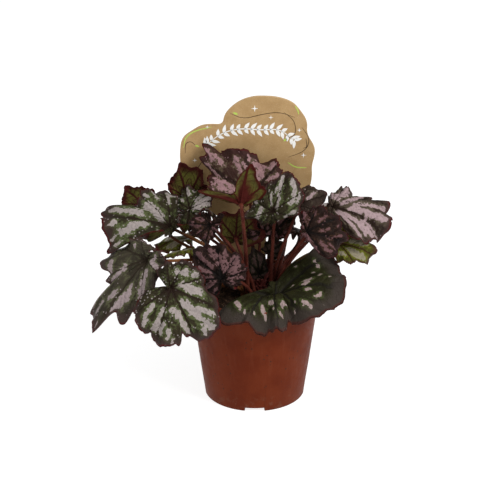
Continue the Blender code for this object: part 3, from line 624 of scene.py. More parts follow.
               (70, 8, -0.1, 0), (-3, 3.5, 0.06, -0.2), (-24, 6, 0.05, -0.1), (-52, 9, -0.22, 0)),
         marks=((-35, -30, 0.18, 0.88, 2.3), (-25, -12, 0.2, 0.92, 2.5), (-4, -6, 0.52, 0.95, 3),
                (10, 8, 0.3, 0.95, 3.2), (38, 42, 0.2, 0.75, 2), (82, 68, 0.38, 0.85, 2.9),
                (24, 24, 0.35, 0.9, 2.1), (-16, -20, 0.6, 0.85, 1.5), (110, 104, 0.5, 0.8, 1.6))),
    leaf("right_small", (0.038, 0.004, 0.18), (0.75, 0.1, 0.35), (0.0, -0.7, 0.7), 0.02, (INNER, 10),
         look="rosy", reach=0.15, edge=(0.8, 0.8, 0.8, 0.8, 0.9, 1.1, 1.4, 1.45, 1.2, 0.9, 0.8, 0.8),
         marks=((10, 14, 0.4, 0.7, 1.6), (130, 135, 0.3, 0.9, 1.8), (165, 170, 0.4, 0.9, 1.8),
                (-150, -150, 0.3, 0.8, 1.6))),
    leaf("right_dark", (0.045, -0.03, 0.1695), (0.9, -0.2, -0.15), (0.1, -0.85, 0.5), 0.039, (OUTER, 331),
         look="dusky", frilly=1.5, edge=(0.4, 0.3, 0.3, 0.25, 0.4, 0.95, 0.85, 0.95, 0.92, 0.85, 0.8, 0.4),
         fine=((180, 35, 0.9, 0),), curls=((180, 50, 0.35, 0.002, 140),),
         marks=((99, 111, 0.38, 0.88, 2.2), (23, 32, 0.88, 0.97, 1.4), (-3, 8, 0.58, 0.86, 1.3),
                (-75, -49, 0.4, 0.92, 2.2), (-23, -27, 0.48, 0.88, 2), (-13, -17, 0.66, 0.95, 1.4),
                (-44, -44, 0.7, 0.96, 1.4), (53, 54, 0.5, 0.85, 1.6), (18, 20, 0.4, 0.6, 1.4),
                (76, 80, 0.6, 0.85, 1.4), (150, 160, 0.4, 0.9, 2), (-120, -110, 0.4, 0.9, 2))),
    leaf("right_low", (0.074, -0.002, 0.147), (0.85, -0.1, -0.2), (0.1, -0.7, 0.7), 0.041, (OUTER, 349),
         look="yellow", stalk="green", rise=0.9, reach=0.1,
         edge=(0.6, 0.5, 0.5, 0.6, 0.68, 0.65, 0.8, 0.85, 0.72, 0.65, 0.35, 0.35),
         pulls=((-17, 9, 0.18, 0),), fine=((70, 22, 0.12, 0.15),)),
    leaf("centre_back", (-0.017, 0.01, 0.1455), (0.05, 0.2, 0.95), (0.0, 0.97, 0.15), 0.026, (INNER, 150),
         look="red back", grid=(216, 18), edge=(0.7, 0.5, 0.7, 0.9, 1.0, 1.3, 1.0, 1.0, 0.5, 0.4, 0.4, 0.5),
         fine=((82, 42, 1.0, 0),)),
    leaf("right_under", (0.026, 0.028, 0.149), (0.2, -0.5, 0.6), (0.0, -0.5, 0.85), 0.02, (OUTER, 25),
         look="dark", grid=(216, 18), reach=0.15,
         fine=((-90, 60, 0.7, 0), (180, 40, 1.0, 0), (90, 60, 0.3, 0))),
    leaf("young", (0.004, 0.005, 0.113), (-0.1, 0.0, 1.0), (0.3, -0.9, 0.2), 0.018, (INNER, 85),
         look="dark", grid=(216, 18), spread=0.6,
         fine=((0, 70, 0.3, 0), (-100, 60, 0.4, 0), (90, 60, 0.4, 0))),
    leaf("left_far", (-0.1, 0.036, 0.167), (-0.5, 0.1, 0.5), (-0.3, 0.9, 0.4), 0.024, (OUTER, 151),
         look="red back", stalk="tan", grid=(216, 18)),
    leaf("left_under", (-0.058, -0.004, 0.139), (-0.9, -0.2, 0.1), (0.0, 0.6, 0.8), 0.02, (OUTER, 187),
         look="yellow", stalk="tan", grid=(216, 18),
         fine=((0, 60, 0.5, 0), (-90, 45, 0.3, 0.45), (90, 45, 0.3, -0.35))),
    leaf("back_left", (-0.054, 0.06, 0.15), (-0.7, 0.6, 0.0), (-0.3, 0.3, 0.9), 0.048, (OUTER, 97),
         grid=(180, 18)),
    leaf("back_left_low", (-0.06, 0.062, 0.122), (-0.5, 0.8, -0.2), (-0.2, 0.2, 0.95), 0.044, (OUTER, 115),
         look="yellow", grid=(180, 18), rise=0.9),
    leaf("back_centre", (0.022, 0.09, 0.15), (-0.75, 0.65, 0.05), (0.0, 0.2, 0.95), 0.05, (OUTER, 61),
         look="pink", grid=(180, 18), notch=0.8),
    leaf("back_high", (0.018, 0.068, 0.176), (0.1, 0.95, 0.2), (0.1, 0.4, 0.9), 0.04, (INNER, 50),
         look="rosy", grid=(180, 18), reach=0.15),
    leaf("back_right", (0.056, 0.052, 0.152), (0.65, 0.7, 0.0), (0.3, 0.3, 0.9), 0.046, (OUTER, 43),
         grid=(180, 18)),
    leaf("back_right_low", (0.042, 0.068, 0.124), (0.6, 0.75, -0.2), (0.2, 0.2, 0.95), 0.046, (OUTER, 79),
         look="pink", grid=(180, 18), notch=0.8),
    leaf("inner_left", (0.0065, 0.013, 0.149), (-0.3, 0.1, 0.9), (0.1, -0.8, 0.4), 0.019, (INNER, 100),
         look="dusky", grid=(180, 16), solid=False, reach=0.15),
    leaf("inner_right", (0.02, 0.017, 0.15), (0.5, 0.2, 0.6), (-0.1, -0.8, 0.5), 0.018, (INNER, 60),
         look="dusky", grid=(180, 16), solid=False, phase=1.0, reach=0.15),
    leaf("inner_low", (0.014, 0.012, 0.131), (0.6, -0.1, 0.6), (-0.3, -0.8, 0.3), 0.015, (INNER, 75),
         look="dark", grid=(180, 16), solid=False, phase=2.0, reach=0.15),
)


# Rhizome. The short thick creeping stem that every stalk grows from: knobbly with the scars of old
# leaves, wrapped in papery red scales and long soft hairs.
CROWN = (0.005, 0.0)
RHIZOME_RADIUS = 0.0056
RHIZOME_FOOT = 0.083
RHIZOME_TOP = 0.110
RHIZOME_RINGS = 46
RHIZOME_SIDES = 40
SCALES = 30
SCALE_ROWS = 7
SCALE_COLUMNS = 5
SCALE_LOW = 0.012
SCALE_CLIMB = 0.013
SCALE_RADIUS = 0.005
SCALE_HALF_WIDTH = 0.0026
SCALE_THICKNESS = 0.00016
GOLDEN_ANGLE = 2.399


def rhizome_radius(share, angle):
    """The rhizome's radius round its height, knobbly with old leaf scars and blunt at the top. share
    runs from 0 at the foot to 1 at the top."""
    scars = 1 + 0.10 * np.sin(5 * angle + 9 * share) + 0.05 * np.sin(24 * share)
    return RHIZOME_RADIUS * np.sqrt(np.maximum(1 - share**3, 0.02)) * scars


def unit(vector):
    """The vector, or each of them, at length 1."""
    vector = np.asarray(vector, float)
    return vector / np.linalg.norm(vector, axis=-1, keepdims=True)


def circles(across, other, sides):
    """Unit circles of points, one in the plane of each pair of directions."""
    turn = all_round(sides)[:, None]
    return np.cos(turn) * across[:, None] + np.sin(turn) * other[:, None]


def hair_points(roots, ways, lengths, width):
    """Hairs as thin three-sided spikes: each has three points round its root, square to its way, and
    one point at root + way x length, a little bent down by gravity."""
    ways = unit(ways)
    across = unit(np.cross(ways, [0.31, 0.52, 0.79]))
    ring = circles(across, np.cross(ways, across), 3)
    tips = roots + ways * lengths[:, None] - [0, 0, 0.12] * lengths[:, None]
    return np.concatenate([roots[:, None] + ring * width / 2, tips[:, None]], axis=1).reshape(-1, 3)


def hair_faces(count):
    """Three sides and a base for each of so many hairs."""
    spike = np.array([(0, 1, 3), (1, 2, 3), (2, 0, 3), (2, 1, 0)])
    return (spike + 4 * np.arange(count)[:, None, None]).reshape(-1, 3)


def fibre(name, colour, tip_colour):
    """Hair: soft and slightly shiny, its colour drifting from place to place."""
    made, shader = finish(name, colour, 0.5, 0.05)
    drift = noise(object_place(shader), 240, 1)
    put(shader.inputs["Base Color"], mixed(ease(drift, 0.4, 0.6), colour, tip_colour))
    return made


def rhizome_skin():
    """Dull red brown skin, blotched darker, with fine warts."""
    made, shader = finish("rhizome skin", (0.1, 0.03, 0.02), 0.75, 0.12)
    place = object_place(shader)
    clouds = noise(place, 380, 4, 0.6)
    colour = mixed(ease(clouds, 0.35, 0.65), (0.018, 0.006, 0.0045), (0.065, 0.017, 0.013))
    put(shader.inputs["Base Color"], colour)
    raised(shader, clouds, 0.0004)
    return made


rhizome_share = np.linspace(0, 1, RHIZOME_RINGS)[:, None]
rhizome_turn = all_round(RHIZOME_SIDES)
wide = rhizome_radius(rhizome_share, rhizome_turn)
rhizome_height = RHIZOME_FOOT + (RHIZOME_TOP - RHIZOME_FOOT) * rhizome_share
rhizome_grid = round_points(wide, rhizome_turn, rhizome_height, CROWN).reshape(-1, 3)
rhizome_points = np.vstack([rhizome_grid, [(*CROWN, RHIZOME_FOOT), (*CROWN, RHIZOME_TOP + EDGE)]])
rhizome_faces = closed_faces(RHIZOME_RINGS, RHIZOME_SIDES)
rhizome = shown("rhizome_knobbly", rhizome_points, rhizome_faces, rhizome_skin())
as_part(rhizome, "rhizome_skin", "rhizome")

# Scales. Each is a pointed papery tongue: along it the width falls as the square root of what is
# left of its length, across it the sheet is cupped round the rhizome, and its tip leans out.
stack = (SCALES, 1, 1, 1)
scale_order = np.arange(SCALES).reshape(stack)
scale_low = RHIZOME_FOOT + SCALE_LOW + SCALE_CLIMB * scale_order / SCALES
scale_long = chance.uniform(0.006, 0.010, SCALES).reshape(stack)
along, side = np.linspace(0, 1, SCALE_ROWS), np.linspace(-1, 1, SCALE_COLUMNS)
along, side, layer = np.meshgrid(along, side, [0, 1], indexing="ij")
half = SCALE_HALF_WIDTH * np.sqrt(1.02 - along) * side
lean = 0.0048 + 0.0022 * along**1.5 + chance.uniform(0, 0.003, stack) * along**2 - 0.0005 * side**2
lean = lean + SCALE_THICKNESS * layer
scale_turn = scale_order * GOLDEN_ANGLE + half / SCALE_RADIUS
scale_points = round_points(lean, scale_turn, scale_low + along * scale_long, CROWN).reshape(-1, 3)


def sheet_faces(rows, columns):
    """Quads of a thin closed sheet whose points are numbered by row, column and layer (0 is the
    inner side, 1 the outer side): both sides and the four rims, each as a grid of numbers that is
    seen from outside."""
    at = np.arange(rows * columns * 2).reshape(rows, columns, 2)
    grids = (at[..., 1], at[..., 0].T, at[0].T, at[-1].T[::-1], at[:, 0], at[:, -1].T)
    return np.concatenate([quads(grid) for grid in grids])


def papery(name, colour, second):
    """Thin dry skin with fine upright fibres in two tones."""
    made, shader = finish(name, colour, 0.6, 0.3)
    place = object_place(shader)
    lines = noise(stretched(place, (1500, 1500, 120)), 1, 2)
    put(shader.inputs["Base Color"], mixed(ease(lines, 0.35, 0.65), colour, second))
    raised(shader, lines, 0.0002)
    return made


scale_sheet = sheet_faces(SCALE_ROWS, SCALE_COLUMNS)
scale_faces = (scale_sheet + along.size * np.arange(SCALES)[:, None, None]).reshape(-1, 4)
scale_red = papery("papery scale", (0.075, 0.010, 0.009), (0.13, 0.032, 0.024))
scales = shown("rhizome_scales", scale_points, scale_faces, scale_red)
as_part(scales, "rhizome_skin")


# Stalks. Juicy hairy stems, brown red with pale flecks, that leave the rhizome upright, bend over to
# their blades and widen where they join them. The oldest, at the left, have faded to tan.
INNER_STEPS = 30
STALK_SIDES = 14
STALK_DEPTH = 0.010
STALK_STRAIGHT = 0.003
STALK_TAPER = 0.62
STALK_HAIRS = 260
HAIR_LENGTH = 0.0018
HAIR_WIDTH = 0.00009
HAIR_SINK = 0.0001
CROWN_HAIRS = 700


def blade_up(shape):
    """The way that the upper side faces at the stalk."""
    ahead = unit(shape["midrib"])
    return np.cross(ahead, unit(np.cross(shape["upper"], ahead)))


def stalk_line(shape, t):
    """The stalk's middle line and its direction: straight up out of the soil where t is below 0, then
    from 0 to 1 one cubic curve that meets the blade square on from below."""
    up = blade_up(shape)
    distance, compass = shape["foot"]
    foot = round_points(distance, math.radians(compass), SOIL_LEVEL - STALK_DEPTH, CROWN)
    start = foot + [0, 0, STALK_DEPTH + STALK_STRAIGHT]
    joint = np.asarray(shape["joint"])
    slant = np.linalg.norm(np.cross(unit(joint - start), up)) * (1 - min(shape["reach"] * 4, 1))
    end = joint - up * (BLADE_THICKNESS / 2 + GAP * 1.5 + shape["thick"] * STALK_TAPER * slant)
    span = np.linalg.norm(end - start)
    leave = start + np.array([0, 0, 1]) * shape["rise"] * span * 0.6
    meet = end - up * shape["reach"] * span
    s = np.clip(t, 0, 1)[:, None]
    curve = (1 - s) ** 3 * start + 3 * (1 - s) ** 2 * s * leave + 3 * (1 - s) * s**2 * meet + s**3 * end
    way = (1 - s) ** 2 * (leave - start) + 2 * (1 - s) * s * (meet - leave) + s**2 * (end - meet)
    below = np.minimum(t, 0)[:, None] * [0, 0, STALK_DEPTH + STALK_STRAIGHT]
    return curve + below, unit(way + 1e-9)


def stalk_tube(shape):
    """The stalk's skin: a circle carried along its line, square to it, that tapers evenly, swells a
    little here and there, and flares to half as wide again over the last twentieth."""
    t = np.concatenate([[-0.9, -0.4], np.linspace(0, 1, INNER_STEPS) ** 0.95])
    line, way = stalk_line(shape, t)
    axes = np.eye(3)[:2]
    square = np.linalg.norm(np.cross(way[:, None], axes), axis=-1).min(axis=0)
    across = unit(np.cross(way, axes[square.argmax()]))
    place = (1 + 10 * np.clip(t, -0.1, 1)) / 11
    swell = 1 + 0.05 * np.sin(17 * t + shape["phase"]) + 0.03 * np.sin(41 * t)
    flare = 1 + 0.55 * np.clip((t - 0.93) / 0.07, 0, 1) ** 2
    radius = shape["thick"] * (1 - (1 - STALK_TAPER) * place) * swell * flare
    ring = circles(across, np.cross(way, across), STALK_SIDES)
    top = np.asarray(shape["joint"]) - blade_up(shape) * BLADE_THICKNESS * 0.25
    grid = line[:, None] + ring * radius[:, None, None]
    lid = top + ring[-1] * radius[-1] * 1.12
    return np.concatenate([grid, lid[None]])


def stalk_finish(name, base, pale, fleck):
    """Skin that drifts between two tones along the stalk, with fine lengthwise lines and flecks."""
    made, shader = finish(name, base, 0.5, 0.05)
    lengthways = beside(shader, "ShaderNodeUVMap")
    lengthways.uv_map = "lengthways"
    lines = noise(stretched(lengthways.outputs[0], (9, 5, 1)), 1, 2)
    place = object_place(shader)
    colour = mixed(ease(noise(place, 90, 2), 0.35, 0.65), base, pale)
    colour = mixed(ease(lines, 0.5, 0.75, 0, 0.5), colour, fleck)
    dots = times(ease(cells(place, 620), 0.28, 0.16), ease(noise(place, 300, 1), 0.5, 0.6))
    colour = mixed(times(dots, 0.6), colour, fleck)
    put(shader.inputs["Base Color"], colour)
    raised(shader, lines, 0.0002)
    return made


stalk_finishes = {
    "red": stalk_finish("red stalk", (0.044, 0.0085, 0.0055), (0.086, 0.020, 0.0125), (0.14, 0.05, 0.034)),
    "tan": stalk_finish("tan stalk", (0.085, 0.028, 0.010), (0.16, 0.062, 0.022), (0.24, 0.12, 0.05)),
    "green": stalk_finish("green stalk", (0.045, 0.028, 0.010), (0.080, 0.048, 0.016), (0.15, 0.09, 0.04)),
}
hair_roots, hair_ways, hair_lengths = [], [], []
for shape in LEAVES:
    skin_grid = stalk_tube(shape)
    rings = len(skin_grid)
    ends = [skin_grid[0].mean(axis=0), skin_grid[-1].mean(axis=0)]
    points = np.vstack([skin_grid.reshape(-1, 3), ends])
    stalk_faces = closed_faces(rings, STALK_SIDES)
    stem = shown("stem_" + shape["name"], points, stalk_faces, stalk_finishes[shape["stalk"]])
    way_round, way_up = np.meshgrid(np.arange(STALK_SIDES + 1) / STALK_SIDES, np.arange(rings) / rings)
    skin_uv = quads(np.stack([way_round, way_up], -1)).reshape(-1, 2)
    cap_uv = np.zeros((STALK_SIDES * 6, 2))
    lengthways = stem.data.uv_layers.new(name="lengthways")
    lengthways.data.foreach_set("uv", np.vstack([skin_uv, cap_uv]).ravel())
    as_part(stem, "leaf_stalk", *["stalk_" + shape["name"]] * shape["solid"])
    pick = chance.integers(3, rings - 3, STALK_HAIRS), chance.integers(0, STALK_SIDES, STALK_HAIRS)
    slide = chance.uniform(0, 1, (STALK_HAIRS, 1))
    root = skin_grid[pick] * (1 - slide) + skin_grid[pick[0] + 1, pick[1]] * slide
    middle = skin_grid.mean(axis=1)
    middle = middle[pick[0]] * (1 - slide) + middle[pick[0] + 1] * slide
    outward = unit(root - middle)
    hair_roots.append(root - outward * HAIR_SINK)
    hair_ways.append(outward + chance.normal(0, 0.35, root.shape))
    hair_lengths.append(HAIR_LENGTH * chance.uniform(0.4, 1, STALK_HAIRS))

# The rhizome's own hairs are longer and stand all ways out of its upper half.
crown_turn = chance.uniform(0, 2 * np.pi, CROWN_HAIRS)
crown_share = chance.uniform(0.5, 1, CROWN_HAIRS)
crown_wide = rhizome_radius(crown_share, crown_turn) * 0.97
crown_height = RHIZOME_FOOT + (RHIZOME_TOP - RHIZOME_FOOT) * crown_share
crown_root = round_points(crown_wide, crown_turn, crown_height, CROWN)
hair_roots.append(crown_root)
hair_ways.append(unit(round_points(1, crown_turn, 0.6)) + chance.normal(0, 0.4, crown_root.shape))
hair_lengths.append(chance.uniform(0.0015, 0.0042, CROWN_HAIRS))
stalk_fur = fibre("stalk hair", (0.16, 0.05, 0.038), (0.30, 0.16, 0.12))
hairs = hair_points(*map(np.concatenate, (hair_roots, hair_ways, hair_lengths)), HAIR_WIDTH)
fur = shown("stalk_hairs", hairs, hair_faces(len(hairs) // 4), stalk_fur)
as_part(fur, "leaf_stalk")


# Blades. Nine main veins run out from the stalk, with side veins that leave them forward. The tissue
# quilts up between the veins, the underside has the veins standing out, and the edge is toothed,
# scalloped and fringed with hairs. Between the veins the upper side is marked with silver.
SIDE_VEINS = 6
TEETH = 84
TOOTH = 0.00042
SCALLOP = 0.0018
FRILL = 0.0026
QUILT = 0.0010
VEIN_RIDGE = 0.0005
SHEET_MIDDLE = 0.00048
SHEET_EDGE = 0.00020
EDGE_HAIRS = 220
EDGE_HAIR_WIDTH = 0.00007
USUAL_LENGTH = 0.05
NEAR_STALK = 0.012
MILLIMETRE = 0.001
TURNED_OVER = [0, 3, 2, 1]


def apart(angle, degrees):
    """The angle from a direction given in degrees, the short way round, in degrees."""
    return np.degrees(np.angle(np.exp(1j * (angle - np.radians(degrees)))))


def pulled(shape, angle, column):
    """The leaf's own pulls at an angle: smooth bumps round the edge, each a place and a half width in
    degrees, a change of growth (column 2), and a lift (column 3) as a share of the length. The fine
    ones are the small notches and curls."""
    total = np.zeros_like(angle)
    for pull in (*shape["pulls"], *shape["fine"]):
        total = total + pull[column] * np.exp(-((apart(angle, pull[0]) / pull[1]) ** 2))
    return total


def margin_reach(shape, angle):
    """Distance from the stalk to the edge, at an angle from the midrib: a heart with its notch behind
    the stalk, one basal lobe larger than the other, a shallow lobe at the end of each main vein, and
    the leaf's own growth, edge, as factors at even steps all round, from straight behind the stalk."""
    heart = 0.84 - shape["tip"] - 0.08 + 0.24 * np.cos(angle) + shape["tip"] * np.cos(angle / 2) ** 24
    notch = 1 - 0.75 * np.exp(-(((np.pi - np.abs(angle)) / shape["notch"]) ** 2))
    skew = 1 + shape["skew"] * np.sin(angle) * (1 - np.cos(angle)) / 2
    lobes = 1 + shape["lobe"] * np.cos(MAIN_VEINS * angle)
    step = 360 / EDGE_PLACES
    growth = pulled(shape, angle, 2)
    for place, factor in enumerate(shape["edge"]):
        near = np.minimum(np.abs(apart(angle, -180 + step * place)) / step, 1)
        growth = growth + factor * (1 + np.cos(np.pi * near)) / 2
    return shape["length"] * heart * notch * skew * lobes * growth


def edge_detail(shape, angle):
    """Extra reach at the very edge, in metres: uneven scallops round the leaf as the sum of two sines
    and the size of a third, and teeth that rise over a third of their length and fall over the rest."""
    start = 3 * shape["phase"]
    scallops = np.sin(13 * angle + start) + 0.5 * np.sin(37 * angle + start)
    scallops = scallops + 0.9 * np.abs(np.sin(11 * angle - start))
    turn = angle * TEETH / (2 * np.pi) % 1
    saw = np.where(turn < 0.34, turn / 0.34, (1 - turn) / 0.66)
    uneven = 0.7 + 0.3 * np.sin(11 * angle + start)
    return shape["frilly"] * (SCALLOP * scallops / 2 + TOOTH * (2 * saw - 1) * uneven)


def curled(shape, share, angle, reach):
    """Distance out along the blade, and rise, where parts of the edge fold up: each curl has a place
    and a half width in degrees, the share it starts at, the radius it bends on in metres and the
    angle it bends through in degrees. The flap beyond the bend is straight."""
    out, rise = share * reach, 0 * reach
    for place, half, start, radius, most in shape["curls"]:
        beyond = np.clip(share - start, 0, None) * reach
        most = np.radians(most) * np.exp(-((apart(angle, place) / half) ** 4))
        turn = np.minimum(beyond / radius, most)
        flap = beyond - turn * radius
        out = out - beyond + radius * np.sin(turn) + flap * np.cos(turn)
        rise = rise + radius * (1 - np.cos(turn)) + flap * np.sin(turn)
    return out, rise


def bent(along, height, curl):
    """A sheet rolled downward with an even curl, in radians a metre, its lengths kept."""
    turn = curl * along
    forward = along * np.sinc(turn / np.pi) + height * np.sin(turn)
    down = along * turn / 2 * np.sinc(turn / 2 / np.pi) ** 2
    return forward, height * np.cos(turn) - down


def blade_points(shape, share, angle, detail):
    """The blade's middle surface. share runs from 0 at the stalk to 1 at the edge, and angle goes
    round the stalk from the midrib. The blade rises from the stalk as a funnel, sags again towards
    the edge, and ruffles more and more outwards; then it droops along the midrib and rolls across.
    detail, 0 or 1, adds the teeth, which fade where the edge comes near the stalk, and the small
    frill of the edge."""
    length = shape["length"]
    size = min(length / USUAL_LENGTH, 1)
    reach = margin_reach(shape, angle)
    reach = reach + detail * size * edge_detail(shape, angle) * share**10 * np.minimum(reach / NEAR_STALK, 1)
    out, rise = curled(shape, share, angle, reach)
    along = out * np.cos(angle)
    across = out * np.sin(angle) * shape["spread"]
    wave = np.sin(shape["waves"] * angle + shape["phase"] + 0.7 * np.sin(2 * angle + shape["phase"]))
    height = length * (
        shape["cup"] * share
        - shape["sag"] * share**2
        + shape["ruffle"] * share**2.2 * wave
        + pulled(shape, angle, 3) * share**2.5
    )
    frill = np.sin(11 * angle + 2 * shape["phase"]) + 0.6 * np.sin(17 * angle - shape["phase"])
    frill = frill * share**4 + 0.4 * np.sin(29 * angle + shape["phase"]) * share**6
    height = height + detail * size * shape["frilly"] * FRILL * frill + rise
    across, height = bent(across, height, shape["roll"] / length)
    along, height = bent(along, height, shape["droop"] / length)
    ahead = unit(shape["midrib"])
    left = unit(np.cross(shape["upper"], ahead))
    up = np.cross(ahead, left)
    place = [along[..., None] * ahead, across[..., None] * left, height[..., None] * up]
    return np.asarray(shape["joint"]) + sum(place)


def off_vein(angle):
    """How far an angle is from the nearest main vein, in steps from one to the next."""
    sector = angle * MAIN_VEINS / (2 * np.pi)
    return np.abs(sector - np.round(sector))


def quilting(shape, share, angle):
    """How far the tissue stands up, in metres: nothing along a main vein or the side veins that leave
    it forward as chevrons, most in the middle of each cell between them, fading at stalk and edge."""
    off = off_vein(angle)
    from_vein = np.clip(off * share * 4.5, 0, 1)
    side = SIDE_VEINS * share * (1 - 0.8 * off)
    cell = np.abs(np.sin(np.pi * side)) ** 0.7
    uneven = 0.75 + 0.25 * np.sin(5 * angle + 9 * share + shape["phase"])
    fade = np.clip(share / 0.15, 0, 1) * np.clip((1.02 - share) / 0.2, 0, 1)
    size = min(shape["length"] / USUAL_LENGTH, 1.2)
    return QUILT * size * from_vein**0.7 * (0.4 + 0.6 * cell) * uneven * fade


def ridges(share, angle):
    """How far the veins stand out of the underside: each main vein as a rounded rib that thins out
    towards the edge."""
    off = off_vein(angle) * share / 0.035
    return VEIN_RIDGE * np.exp(-(off**2)) * (1.1 - share) * np.clip(share / 0.05, 0, 1)


def silver_field(shape, share, angle):
    """How silver each place is, 0 to 1. A leaf's own marks are streaks: each is a line from one angle
    and share to another, full in its middle, half at its half width and nothing at twice that. Without
    marks, the middle of each sector between two main veins is silver, from and to shares that differ
    from one sector to the next."""
    reach = margin_reach(shape, angle)
    x, y = share * reach * np.cos(angle), share * reach * np.sin(angle)
    if shape["marks"] is None:
        sector = np.floor(angle * MAIN_VEINS / (2 * np.pi))
        start = 0.24 + 0.13 * np.sin(2.4 * sector + shape["phase"])
        stop = 0.86 + 0.09 * np.sin(4.1 * sector)
        rise = np.clip((share - start) / 0.14, 0, 1) * np.clip((stop - share) / 0.14, 0, 1)
        return rise * np.clip(off_vein(angle) * 3.0 * (0.5 + share), 0, 1)
    field = np.zeros_like(x)
    for inner, outer, start, stop, half in shape["marks"]:
        ends = np.radians([inner, outer])
        far = margin_reach(shape, ends) * [start, stop]
        a = far[0] * np.array([np.cos(ends[0]), np.sin(ends[0])])
        b = far[1] * np.array([np.cos(ends[1]), np.sin(ends[1])])
        t = np.clip(((x - a[0]) * (b - a)[0] + (y - a[1]) * (b - a)[1]) / ((b - a) @ (b - a)), 0, 1)
        gap = np.hypot(x - a[0] - t * (b - a)[0], y - a[1] - t * (b - a)[1])
        field = np.maximum(field, 1 - 0.5 * gap / (half * MILLIMETRE))
    return np.clip(field, 0, 1)


def from_whole(value):
    """Distance to the nearest whole number."""
    return math_of("ABSOLUTE", math_of("SUBTRACT", value, math_of("ROUND", value)))


def vein_lines(shader, wander, side_wander):
    """The veins as the blade's own map has them, drawn a little unsteadily by a noise: the map, the
    wobble of that noise, the share of the way out, and how far it is to the nearest main vein and to
    the nearest side vein."""
    polar = beside(shader, "ShaderNodeUVMap")
    polar.uv_map = "veins"
    round_it, out = parts_of(polar.outputs[0])[:2]
    wobble = math_of("SUBTRACT", noise(object_place(shader), 150, 2), 0.5)
    off = from_whole(scaled(wobble, wander, round_it))
    side = scaled(times(out, scaled(off, -0.8, 1.0)), SIDE_VEINS, times(wobble, side_wander))
    return polar.outputs[0], wobble, out, times(off, out), from_whole(side)


def upper_finish(
    name, green, deep, silver, heart, band, rim, spread=0.5, dots=0.3, vein=1.0, broken=1.0, border=0.80
):
    """The upper side. deep: the tissue along the main veins. green: the fringe round the silver.
    silver: the streaks. heart: round the stalk and in the veins. band and rim: towards the edge and
    on it. spread: how readily silver shows. dots: how many small dots are scattered about. vein: the
    width of the main veins. broken: how ragged and mottled the streaks are. border: the share of the
    way out where the band starts."""
    made, shader = finish(name, green, 0.5, 0.05)
    polar, wobble, out, from_main, from_side = vein_lines(shader, 0.22, 1.4)
    place = object_place(shader)
    main = ease(from_main, 0.042 * vein, 0.012 * vein)
    branch = ease(from_side, 0.22, 0.04)
    silvery = beside(shader, "ShaderNodeAttribute")
    silvery.attribute_name = "silver"
    ragged = noise(stretched(polar, (4, 7, 1)), 1, 3, 0.6)
    grit = noise(place, 430, 3, 0.65)
    ragged = plus(ragged, plus(noise(place, 190, 2), grit))
    ragged = scaled(ragged, 0.75 * broken, -1.125 * broken)
    field = plus(silvery.outputs["Fac"], ragged)
    field = scaled(branch, -0.10, field)
    field = scaled(main, -0.28, field)
    clouds = noise(place, 70, 2)
    near_edge = scaled(math_of("SUBTRACT", clouds, 0.5), 0.16, out)
    near_edge = scaled(math_of("SUBTRACT", grit, 0.5), 0.14, near_edge)
    field = math_of("SUBTRACT", field, ease(near_edge, border + 0.04, 1.02, 0, 0.55))
    shows = ease(field, 0.68 - 0.4 * spread, 0.77 - 0.4 * spread)
    fringe = ease(field, 0.16 - 0.4 * spread, 0.56 - 0.4 * spread)
    tiny = ease(cells(place, 330), 0.30, 0.18)
    some = ease(noise(place, 120, 1), 0.62 - 0.2 * dots, 0.66 - 0.2 * dots)
    shows = math_of("MAXIMUM", shows, times(times(tiny, some), 0.8))
    dark = tuple(0.6 * part for part in deep)
    colour = mixed(ease(clouds, 0.35, 0.65), deep, dark)
    colour = mixed(times(fringe, 0.85), colour, green)
    colour = mixed(times(branch, 0.3), colour, dark)
    colour = mixed(times(main, 0.8), colour, heart)
    colour = mixed(ease(near_edge, border, (1 + border) / 2 + 0.04, 0, 0.9), colour, band)
    pale = tuple(0.75 * part for part in silver)
    colour = mixed(shows, colour, mixed(ease(grit, 0.3, 0.6), pale, silver))
    colour = mixed(ease(out, 0.955, 0.99), colour, rim)
    near_heart = scaled(wobble, 0.12, out)
    colour = mixed(ease(near_heart, 0.26, 0.06), colour, heart)
    put(shader.inputs["Base Color"], colour)
    put(shader.inputs["Roughness"], ease(shows, 0, 1, 0.5, 0.4))
    pebbles = cells(place, 760)
    height = scaled(branch, -0.8, pebbles)
    height = scaled(main, -1.2, height)
    raised(shader, height, 0.00035)
    return made


def under_finish(name, base, deep, vein, rim, width=1.0, heart=0.22, border=0.80, twigs=0.75):
    """The underside: base and deep are its flesh, with stout veins, a finer net and a broad rim. width:
    that of the main veins. heart: the share of the way out where the colour of the stalk's end fades.
    border: the share where the rim starts. twigs: how strongly the side veins show."""
    made, shader = finish(name, base, 0.6, 0.04)
    _, wobble, out, from_main, from_side = vein_lines(shader, 0.12, 0.9)
    place = object_place(shader)
    main = ease(from_main, 0.050 * width, 0.018 * width)
    branch = ease(from_side, 0.12, 0.05)
    net = ease(cells(place, 300, "DISTANCE_TO_EDGE"), 0.07, 0.02)
    clouds = noise(place, 110, 3)
    colour = mixed(ease(clouds, 0.35, 0.65), base, deep)
    colour = mixed(times(net, 0.3), colour, vein)
    colour = mixed(times(branch, twigs), colour, vein)
    colour = mixed(main, colour, vein)
    near_edge = scaled(wobble, 0.22, out)
    colour = mixed(ease(near_edge, border, (border + 1.1) / 2), colour, rim)
    colour = mixed(ease(scaled(wobble, 0.2, out), heart, heart * 0.45), colour, vein)
    put(shader.inputs["Base Color"], colour)
    bumps = scaled(branch, 0.8, noise(place, 600, 2))
    raised(shader, plus(main, bumps), 0.0004)
    return made


